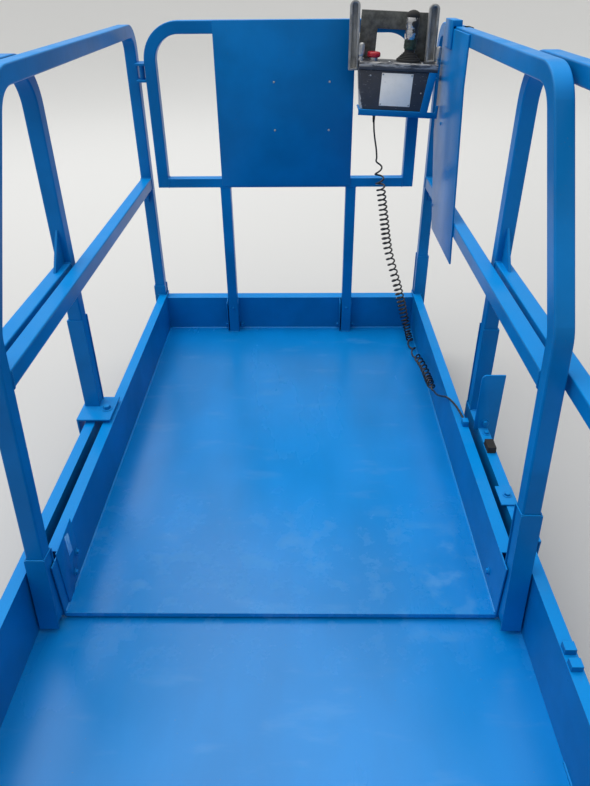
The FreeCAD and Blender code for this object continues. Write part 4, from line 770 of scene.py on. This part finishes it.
class LayWelds(bpy.types.Operator):
    """Weld the tubes together and the toe-boards to the decks"""

    bl_idname = "platform.lay_welds"
    bl_label = "Lay Welds"

    def execute(self, context):
        settings = context.scene.platform_welds
        half = TUBE / 2
        front, middle, rear = FIXED_POSTS
        leaning_post_face = 70.9
        frame_bar_ends = (-427, 407)
        leg_middle, half_leg = 1407, 0.018
        gate_post, gate_low_bar = 360, 169
        rear_rail_ends = (449, 505.5)
        roll_out, fixed, gate = Workpiece(), Workpiece(), Workpiece()

        def ring(piece, route, seed, radius=settings.bead):
            piece.bead(route, radius, True, ripple=settings.ripple, seed=seed)

        def tube_end(piece, place, across, lean=0.0):
            ring(piece, square_route(place, across, UP, half, lean), place.y * 7 + place.x)

        for sign in SIDES:
            x = sign * EXT_RAIL * 1000
            tube_end(roll_out, spot(x, ROLL_OUT_POST - HALF_TUBE, MID_RAIL), RIGHT)
            tube_end(roll_out, spot(x, leaning_post_face, MID_RAIL), RIGHT, -math.tan(REAR_LEAN))
            x = sign * MAIN_RAIL * 1000
            for y in (front - HALF_TUBE, middle + HALF_TUBE, middle - HALF_TUBE, rear + HALF_TUBE):
                tube_end(fixed, spot(x, y, MID_RAIL), RIGHT)
            ring(fixed, self.flat_route(spot(x, middle, TOP_RAIL_UNDERSIDE)), x)
        for x in frame_bar_ends:
            ring(roll_out, square_route(spot(x, 1406, 597), FORWARD, UP, half, 0, 0.78), x)
        for x in FRONT_LEGS:
            for level, seed in ((581.4, x), (0.6, x + 2)):
                ring(roll_out, self.flat_route(spot(x, leg_middle, level), half_leg), seed)
        for sign in SIDES:
            for level in (MID_RAIL, gate_low_bar):
                tube_end(gate, spot(sign * gate_post, rear, level), FORWARD)
            for x in rear_rail_ends:
                tube_end(fixed, spot(sign * x, rear, MID_RAIL), FORWARD)
        for sign in SIDES:
            self.socket_welds(roll_out, spot(sign * 494.5, ROLL_OUT_POST, TOE_TOP), settings, sign)
            for y in FIXED_POSTS:
                self.socket_welds(fixed, spot(sign * FIXED_TOE, y, TOE_TOP), settings, sign)
        # The leaning rear posts come out of sockets of unlike heights.
        along = Vector((0, math.sin(REAR_LEAN), math.cos(REAR_LEAN)))
        across = Vector((0, math.cos(REAR_LEAN), -math.sin(REAR_LEAN)))
        half_socket, thin_bead = 0.0205, 0.0018
        for sign, top in ((-1, 185), (1, 305)):
            rim = spot(sign * (EXT_RAIL * 1000 + 0.5), -16, 0) + along * (top / 1000 + 0.0006)
            ring(roll_out, square_route(rim, RIGHT, across, half_socket), top, thin_bead)
        self.deck_corners(roll_out, fixed, settings)
        roll_out.fit("roll_out_welds", "blue_paint", "roll_out_deck", 60)
        fixed.fit("main_deck_welds", "blue_paint", "platform", 60)
        gate.fit("gate_welds", "blue_paint", "gate", 60)
        return {"FINISHED"}

    def flat_route(self, centre, half=TUBE / 2):
        return square_route(centre, RIGHT, FORWARD, half)

    def socket_welds(self, piece, foot, settings, sign):
        """Short beads along both legs of a rail socket, on the toe-board's top."""
        half, start, gap, above = 0.0225, 0.006, 0.0024, 0.0004
        for end in (-1, 1):
            route = [foot + Vector((sign * start + sign * gap * number, end * half, above))
                     for number in range(12)]
            piece.bead(route, 0.0022, ripple=settings.ripple, seed=foot.y + end)

    def deck_corners(self, roll_out, fixed, settings):
        """The paint-filled corners along the roll-out deck, and stitches along the main deck."""
        corners = Workpiece()
        side_web, front_web, gap, even = 491.5, 1425, 12, 0.05
        for sign in SIDES:
            route = [spot(sign * side_web, 4 + gap * number, 0) for number in range(119)]
            corners.bead(route, settings.corner_bead, ripple=even, seed=sign)
            for start in range(-1500, -100, 280):
                stitch = [spot(sign * FIXED_TOE, start + 2.5 * number, MAIN_DECK) for number in range(24)]
                fixed.bead(stitch, settings.corner_bead, ripple=settings.ripple, seed=start)
        route = [spot(-486 + gap * number, front_web, 0) for number in range(82)]
        corners.bead(route, settings.corner_bead, ripple=even, seed=3)
        corners.fit("deck_corner_beads", "deck_paint", "roll_out_deck", 60)


class FitBolts(bpy.types.Operator):
    """Fit the bolts, screws and rivets"""

    bl_idname = "platform.fit_bolts"
    bl_label = "Fit Bolts"

    def execute(self, context):
        roll_out, fixed, gate, panel = Workpiece(), Workpiece(), Workpiece(), Workpiece()
        # Place, axis, width across flats and height of the head.
        for place, axis, flats, head in (
                ((561, 510, 172), -FORWARD, 15, 8), ((561, 484, 153), UP, 12, 6),
                ((553, 233, 152), UP, 13, 6), ((-520, 596, 161), UP, 19, 10)):
            fixed.bolt(spot(*place), axis, flats, head)
        for y in FIXED_POSTS:
            for sign in SIDES:
                fixed.bolt(spot(sign * 587.5, y, 200), RIGHT * sign, 13, 5)
        for y, z in ((122, 69), (91, 34)):
            roll_out.bolt(spot(-488.5, y, z), RIGHT, 12, 5)
        roll_out.bolt(spot(491.5, 92, 40), -RIGHT, 12, 5)
        for sign in SIDES:
            for z in (40, 110):
                roll_out.dome(spot(sign * 538.5, ROLL_OUT_POST, z), RIGHT * sign, 6)
        for z in (560, 820, 1040):
            roll_out.dome(spot(492, 1240, z), -RIGHT, 5, 2.2)
        for x in (-42, 142):
            for z in (925, 775):
                panel.dome(spot(x, 1384, z), -FORWARD, 3.6, 1.4)
        blade = ((1392, 1), (1424.5, 1), (1424.5, 132), (1392, 122))
        for x in FRONT_LEGS:
            roll_out.dome(spot(x, 1389, 104), -FORWARD, 6)
            for sign in SIDES:
                roll_out.bolt(spot(x + sign * 30, 1425, 16), -FORWARD, 13, 7)
                roll_out.sheet([spot(x + sign * 21.5 - 1.5, y, z) for y, z in blade], 0.003, 0.0006)
        for z in (322, 902):
            gate.bolt(spot(-386, -1552, z), FORWARD, 10, 4)
            gate.bolt(spot(-372, -1556, z), FORWARD, 10, 4)
        # A strip behind the slot in the slotted plate, there to carry a painted sky reflection.
        slot_reflection_strip = Workpiece()
        strip = ((83, 96), (105, 93), (105, 150), (83, 157))
        slot_reflection_strip.sheet([spot(-488.4, y, z) for y, z in strip], 0.0014, 0.0004)
        slot_reflection_strip.fit("slot_reflection_strip", "sky_reflection", "roll_out_deck")
        roll_out.fit("roll_out_bolts", "blue_paint", "roll_out_deck")
        fixed.fit("main_deck_bolts", "blue_paint", "platform")
        gate.fit("gate_bolts", "blue_paint", "gate")
        panel.fit("panel_rivets", "bare_steel", "roll_out_deck")
        return {"FINISHED"}


class BuildControls(bpy.types.Operator):
    """Build the joystick, stop button, knobs, plate and gland of the control box"""

    bl_idname = "platform.build_controls"
    bl_label = "Build Controls"

    def execute(self, context):
        self.joystick()
        self.stop_button()
        self.knobs()
        self.name_plate()
        self.lid_details()
        self.gland()
        return {"FINISHED"}

    def turn(self, x, y):
        """Where a turned part stands on the lid."""
        return stand(box_spot(x, y, LID_TOP), BOX_UP)

    def make(self, name, profile, where, sides, finish_name, sharp=32.0):
        """A turned part that rides on the roll-out deck."""
        piece = Workpiece()
        piece.turned(profile, where, sides)
        return piece.fit(name, finish_name, "roll_out_deck", sharp)

    def joystick(self):
        where = self.turn(*STICK)
        profile = [(38, 0), (38, 6), (36, 8)]
        for ring in range(4):
            radius = 32 - 4.2 * ring
            profile += [(radius + swell, level + 4.2 * ring)
                        for swell, level in ((0, 8.5), (1.2, 10.2), (0, 11.8))]
        profile += [(16, 26), (15.5, 30), (16.5, 38)]
        self.make("joystick_boot", profile, where, 32, "black_rubber", 50)
        grip = Workpiece()
        grip.turned([(16.4, 34), (18, 38), (18.8, 44), (19, 50), (18.6, 57), (18, 63)], where, 36)
        for ring in range(6):
            grip.bead([where @ (Vector((18.6 * math.cos(turn), 18.6 * math.sin(turn), 39 + 4 * ring)) / 1000)
                       for turn in [math.tau * n / 32 for n in range(32)]], 0.0011, True)
        grip.fit("joystick_grip", "grip", "roll_out_deck", 50)
        cap = [(17.6, 61), (19, 64), (20.4, 70), (20.8, 78), (19.6, 86), (18.8, 91), (19.8, 96), (21, 103),
               (20.8, 112), (19.6, 119), (18.6, 123)]
        stick = self.make("joystick_cap", cap, where, 40, "chrome", 60)
        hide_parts("joystick")
        crown = [(18.2, 121), (20.2, 124), (20.4, 130), (17.4, 136), (11, 140), (4, 142)]
        self.make("joystick_crown", crown, where, 32, "black_rubber", 50)

    def stop_button(self):
        where = self.turn(268, 1319)
        head = [(13, 9), (18.5, 10), (20.6, 12), (21, 16), (20.6, 20.5), (19, 23.6), (16.4, 25.2),
                (13, 25.4), (8, 24.6), (3, 24.2)]
        button = self.make("stop_button_head", head, where, 36, "red_plastic", 60)
        collar = [(17.5, 0), (17.5, 2), (15.5, 3), (13.5, 3.5), (13, 9.5)]
        self.make("stop_button_collar", collar, where, 28, "bare_steel")
        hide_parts("stop_button")

    def knobs(self):
        knobs = Workpiece()
        for x in (227, 467):
            where = self.turn(x, 1307)
            knobs.turned([(8.4, 0), (8.4, 4), (6.5, 5), (6.5, 12), (8.2, 13.5), (9, 16), (9, 44), (8, 47),
                          (5, 49.4)], where, 24)
            for notch in range(12):
                angle = math.tau * notch / 12
                route = [where @ (Vector((8.75 * math.cos(angle), 8.75 * math.sin(angle), z)) / 1000)
                         for z in (18, 24, 30, 36, 42)]
                knobs.bead(route, 0.0008)
        piece = knobs.fit("guard_fixing_knobs", "bare_steel", "roll_out_deck")
        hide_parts("guard_knobs")

    def name_plate(self):
        plate = Workpiece()
        corners = ((297.5, 863), (397, 863), (397, 959), (297.5, 959))
        plate.sheet([box_spot(x, 1297.9, z) for x, z in corners], 0.0008, 0.0003)
        plate.fit("blank_plate", "plate", "roll_out_deck")
        rivets = Workpiece()
        for x, z in ((302, 867.5), (392.5, 867.5), (392.5, 954.5), (302, 954.5), (428, 905), (262, 950)):
            rivets.dome(box_spot(x, 1297.6, z), BOX_TURN @ -FORWARD, 2.6, 1.4)
        rivets.fit("plate_rivets", "bare_steel", "roll_out_deck")

    def lid_details(self):
        screws = Workpiece()
        for x, y in ((240, 1370), (452, 1370), (318, 1304), (420, 1302)):
            screws.dome(box_spot(x, y, LID_TOP), BOX_UP, 4, 2.2)
        screws.fit("lid_screws", "bare_steel", "roll_out_deck")

    def gland(self):
        nut = Workpiece()
        where = stand(spot(289, 1340.5, 847), -UP)
        nut.turned([(10.4, 0), (10.4, 5), (9.4, 6)], where, 6)
        nut.turned([(7.6, 5.5), (8, 6.5), (8, 11.5), (7, 13.5), (4.4, 16)], where, 24)
        piece = nut.fit("gland_nut", "black_rubber", "roll_out_deck")
        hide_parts("cord_gland")
        rings = []
        for ring in range(7):
            radius, height = 5.2 - 0.24 * ring, 15.2 + 3.6 * ring
            rings += [(radius - groove, height + rise)
                      for groove, rise in ((0, 0), (0, 2), (0.7, 2.3), (0.7, 3.3))]
        self.make("cord_sleeve", rings, where, 20, "black_rubber")


class HangCord(bpy.types.Operator):
    """Hang the control box's curly cord along its route to the clip"""

    bl_idname = "platform.hang_cord"
    bl_label = "Hang Cord"

    LEAD = ((289, 1340.5, 831), (290, 1343, 796), (296, 1348, 757), (303.5, 1350, 724), (309, 1350, 692))
    CURL = ((309, 1350, 692), (318, 1350, 640), (328, 1351, 585), (338, 1353, 530), (348, 1352, 470),
            (358, 1354, 410), (371, 1355, 352), (388, 1356, 297), (406, 1357, 243), (423, 1357, 189),
            (438, 1356, 137), (450, 1352, 92), (460, 1338, 54), (467, 1308, 28), (470, 1266, 17),
            (472, 1215, 15.5), (475, 1160, 20), (475, 1105, 36), (473, 1050, 54), (472, 995, 71),
            (470, 940, 83), (470, 880, 89), (470, 825, 97.5), (470, 775, 108.7))
    TAIL = ((470, 775, 108.7), (470, 741.8, 116.1), (476, 708, 130), (485, 672, 153), (496, 630, 161),
            (506, 588, 160), (512, 546.6, 156))
    # How far along the curl, and how far apart its turns are there.
    PITCHES = ((0, 60), (40, 44), (80, 30), (120, 18), (300, 18), (360, 23), (450, 23), (520, 18), (620, 15),
               (670, 13), (712, 12), (740, 55), (780, 85), (870, 85), (930, 52), (1060, 42), (1120, 24),
               (1165, 16), (1195, 44), (1260, 60))
    # The hanging turns are wider by this share, down to this many metres along, fading over the last.
    WIDER, WIDE_TO, FADE = 0.27, 0.69, 0.05
    # The share of the radius that each end begins with, and the metres in which a whole radius is added.
    FIRST_TAPER, LAST_TAPER = (0.15, 0.05), (0.2, 0.06)
    # How unevenly wide the turns are, as a share of the radius, and how fast that changes along the curl.
    SWAY, SWAYS = 0.08, 23
    # The length of the lead and the tail together, in metres.
    LEAD_AND_TAIL = 0.37

    def execute(self, context):
        settings = context.scene.platform_cord
        axis = self.line([spot(*point) for point in self.CURL])
        helix = self.helix(axis, settings)
        route = [spot(*point) for point in self.LEAD[:-1]] + helix + [spot(*point) for point in self.TAIL[1:]]
        cord = self.spline("control_cord", route)
        cord.data.bevel_depth = settings.thickness / 2
        cord.data.bevel_resolution = 3
        cord.data.resolution_u = 4
        cord.data.use_fill_caps = True
        cord.data.materials.append(finish("cord_black"))
        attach(cord, "roll_out_deck")
        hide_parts("cord_lead", "cord_curl", "cord_tail")
        length = sum((after - before).length for before, after in zip(helix, helix[1:])) + self.LEAD_AND_TAIL
        return {"FINISHED"}

    def spline(self, name, points):
        """One smooth curve that the points control."""
        curve = bpy.data.curves.new(name, "CURVE")
        curve.dimensions = "3D"
        line = curve.splines.new("NURBS")
        line.points.add(len(points) - 1)
        for point, place in zip(line.points, points):
            point.co = (*place, 1)
        line.order_u = 3
        line.use_endpoint_u = True
        return placed(name, curve)

    def line(self, points):
        """The places along the smooth curve that a route's points control."""
        guide = self.spline("cord_guide", points)
        bpy.context.view_layer.update()
        mesh = bpy.data.meshes.new_from_object(guide)
        places = [vert.co.copy() for vert in mesh.vertices]
        bpy.data.meshes.remove(mesh)
        bpy.data.curves.remove(guide.data)
        return places

    def pitch(self, run):
        """How far apart the turns are at a distance along the curl, in millimetres."""
        for (start, first), (end, last) in zip(self.PITCHES, self.PITCHES[1:]):
            if run <= end:
                return first + (last - first) * (run - start) / (end - start)
        return self.PITCHES[-1][1]

    def helix(self, axis, settings):
        """The curl's turns round the places of its axis, wider or flatter as they hang."""
        places, angle, run, gone = [], 0.0, 0.0, 0.0
        side = (axis[1] - axis[0]).orthogonal().normalized()
        whole = sum((after - before).length for before, after in zip(axis, axis[1:]))
        (first, first_over), (last, last_over) = self.FIRST_TAPER, self.LAST_TAPER
        for before, after in zip(axis, axis[1:]):
            along = (after - before).normalized()
            side = (side - along * side.dot(along)).normalized()
            up = along.cross(side)
            length = (after - before).length
            while gone + length > run:
                share = (run - gone) / length
                ends = min(1.0, first + run / first_over, last + max(0.0, whole - run) / last_over)
                sway = noise.noise(Vector((run * self.SWAYS, 0.5, 0))) * self.SWAY
                hanging = 1 + self.WIDER * min(1.0, max(0.0, (self.WIDE_TO - run) / self.FADE))
                radius = settings.curl * ends * hanging * (1 + sway)
                out = side * math.cos(angle) + up * math.sin(angle)
                places.append(before.lerp(after, share) + out * radius)
                angle += math.tau / settings.turn_points
                run += self.pitch(run * 1000) / 1000 / settings.turn_points
            gone += length
        return places


class FitRubbers(bpy.types.Operator):
    """Fit the ribbed rubber buffer on the rail"""

    bl_idname = "platform.fit_rubbers"
    bl_label = "Fit Rubbers"

    def execute(self, context):
        low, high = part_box("rail_buffer")
        piece = Workpiece()
        ribs, rib_share, core = 7, 0.82, 0.0015
        for rib in range(ribs):
            near = low.y + (high.y - low.y) * rib / ribs
            far = low.y + (high.y - low.y) * (rib + rib_share) / ribs
            piece.sheet(self.corners(low.x, high.x, near, far, low.z), high.z - low.z, 0.0016)
        piece.sheet(self.corners(low.x + core, high.x - core, low.y + core, high.y - core, low.z),
                    high.z - low.z - 2 * core, 0.001)
        buffer = piece.fit("ribbed_buffer", "black_rubber", "roll_out_deck")
        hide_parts("rail_buffer")
        return {"FINISHED"}

    def corners(self, left, right, near, far, level):
        return [(left, near, level), (right, near, level), (right, far, level), (left, far, level)]


class SetStage(bpy.types.Operator):
    """Set up the floor, the lamps and the camera at the photograph's angle"""

    bl_idname = "platform.set_stage"
    bl_label = "Set Stage"

    def execute(self, context):
        settings = context.scene.platform_stage
        self.backdrop(settings)
        self.light(context, settings)
        self.camera(context, settings)
        context.scene.view_settings.view_transform = "Standard"
        return {"FINISHED"}

    def backdrop(self, settings):
        """A pale floor that curves up far behind the platform."""
        near, bends_at, bend, steps, height, half_width = -30, 14, 6, 10, 16, 30
        rows = [(near, 0), (bends_at, 0)]
        for step in range(1, steps + 1):
            angle = math.radians(90 / steps * step)
            rows.append((bends_at + bend * math.sin(angle), bend - bend * math.cos(angle)))
        rows.append((bends_at + bend, height))
        points = [(x, y, z) for y, z in rows for x in (-half_width, half_width)]
        faces = [(2 * n, 2 * n + 1, 2 * n + 3, 2 * n + 2) for n in range(len(rows) - 1)]
        mesh = bpy.data.meshes.new("studio_floor")
        mesh.from_pydata(points, [], faces)
        mesh.shade_smooth()
        floor = placed("studio_floor", mesh)
        cloth = Finish("floor_pale", 0.8)
        base = tuple(settings.floor_colour)
        distance = cloth.along("Y")
        # The floor and backdrop are painted lighter towards the back: a painted brightening of the far
        # backdrop.
        far = cloth.step(distance + 0.2 * cloth.cloud(0.8, 3.0), 0.5, 7.0)
        cloth.colour(cloth.tint(far, shade(base, 1.0), shade(base, 1.4)))
        mesh.materials.append(cloth.material)

    def light(self, context, settings):
        """Soft light all round, stronger from the left, and one large lamp above."""
        world = bpy.data.worlds.new("studio")
        context.scene.world = world
        world.use_nodes = True
        tree = world.node_tree
        glow = tree.nodes["Background"]
        place = tree.nodes.new("ShaderNodeTexCoord")
        axes = tree.nodes.new("ShaderNodeSeparateXYZ")
        tree.links.new(place.outputs["Generated"], axes.inputs[0])
        both = tree.nodes.new("ShaderNodeMath")
        both.operation = "MULTIPLY"
        upward = self.ramp(tree, axes.outputs["Z"], (0.0, 0.9), (settings.sky * 0.3, settings.sky * 1.25))
        rightward = self.ramp(tree, axes.outputs["X"], (-1.0, 1.0), (1.3, 0.7))
        tree.links.new(upward, both.inputs[0])
        tree.links.new(rightward, both.inputs[1])
        tree.links.new(both.outputs[0], glow.inputs["Strength"])
        glow.inputs["Color"].default_value = (1, 1, 1, 1)
        lamp = bpy.data.lights.new("softbox", "AREA")
        lamp.shape = "RECTANGLE"
        lamp.size, lamp.size_y = 6.3, 6.0
        lamp.energy = settings.softbox
        softbox = placed("softbox", lamp)
        softbox.location = (-1.9, 2.0, 5.2)
        aim = Vector((0, 0.3, 0.3)) - softbox.location
        softbox.rotation_euler = aim.to_track_quat("-Z", "Y").to_euler()

    def ramp(self, tree, value, span, strengths):
        """A strength that runs from one level to another over a span of a value."""
        node = tree.nodes.new("ShaderNodeMapRange")
        tree.links.new(value, node.inputs["Value"])
        for name, level in zip(("From Min", "From Max", "To Min", "To Max"), (*span, *strengths)):
            node.inputs[name].default_value = level
        return node.outputs["Result"]

    def camera(self, context, settings):
        """The camera where the photograph was taken from."""
        down, left, roll = settings.down, settings.left, settings.roll
        level = Vector((math.cos(left), math.sin(left), 0))
        ahead = Vector((-math.sin(left) * math.cos(down), math.cos(left) * math.cos(down), -math.sin(down)))
        upright = level.cross(ahead)
        across = level * math.cos(roll) + upright * math.sin(roll)
        upward = upright * math.cos(roll) - level * math.sin(roll)
        turn = Matrix((across, upward, -ahead)).transposed()
        lens = bpy.data.cameras.new("photo_camera")
        lens.lens = settings.lens
        lens.clip_start = 0.05
        camera = placed("photo_camera", lens)
        camera.matrix_world = Matrix.Translation(Vector(settings.eye)) @ turn.to_4x4()
        context.scene.camera = camera


class PlatformPanel(bpy.types.Panel):
    """Sizes, colours and making of the platform"""

    bl_idname = "VIEW3D_PT_platform"
    bl_label = "Work Platform"
    bl_space_type = "VIEW_3D"
    bl_region_type = "UI"
    bl_category = "Platform"

    def draw(self, context):
        scene = context.scene
        for title, group in (("Paint", scene.platform_paint), ("Welds", scene.platform_welds),
                             ("Cord", scene.platform_cord), ("Stage", scene.platform_stage)):
            column = self.layout.box().column()
            column.label(text=title)
            for name in group.__annotations__:
                column.prop(group, name)
        for operator in STEPS:
            self.layout.operator(operator.bl_idname)


STEPS = (SetStage, PaintSteelwork, EasePlates, LayWelds, FitBolts, BuildControls, HangCord, FitRubbers)
GROUPS = {"platform_paint": PlatformPaint, "platform_welds": PlatformWelds,
          "platform_cord": PlatformCord, "platform_stage": PlatformStage}


def register():
    for kind in (*GROUPS.values(), *STEPS, PlatformPanel):
        bpy.utils.register_class(kind)
    for name, kind in GROUPS.items():
        setattr(bpy.types.Scene, name, PointerProperty(type=kind))


def unregister():
    for name in GROUPS:
        delattr(bpy.types.Scene, name)
    for kind in reversed((*GROUPS.values(), *STEPS, PlatformPanel)):
        bpy.utils.unregister_class(kind)


def main():
    """Make the platform step by step."""
    register()
    for step in STEPS:
        group, name = step.bl_idname.split(".")
        getattr(getattr(bpy.ops, group), name)()


if __name__ == "__main__":
    main()
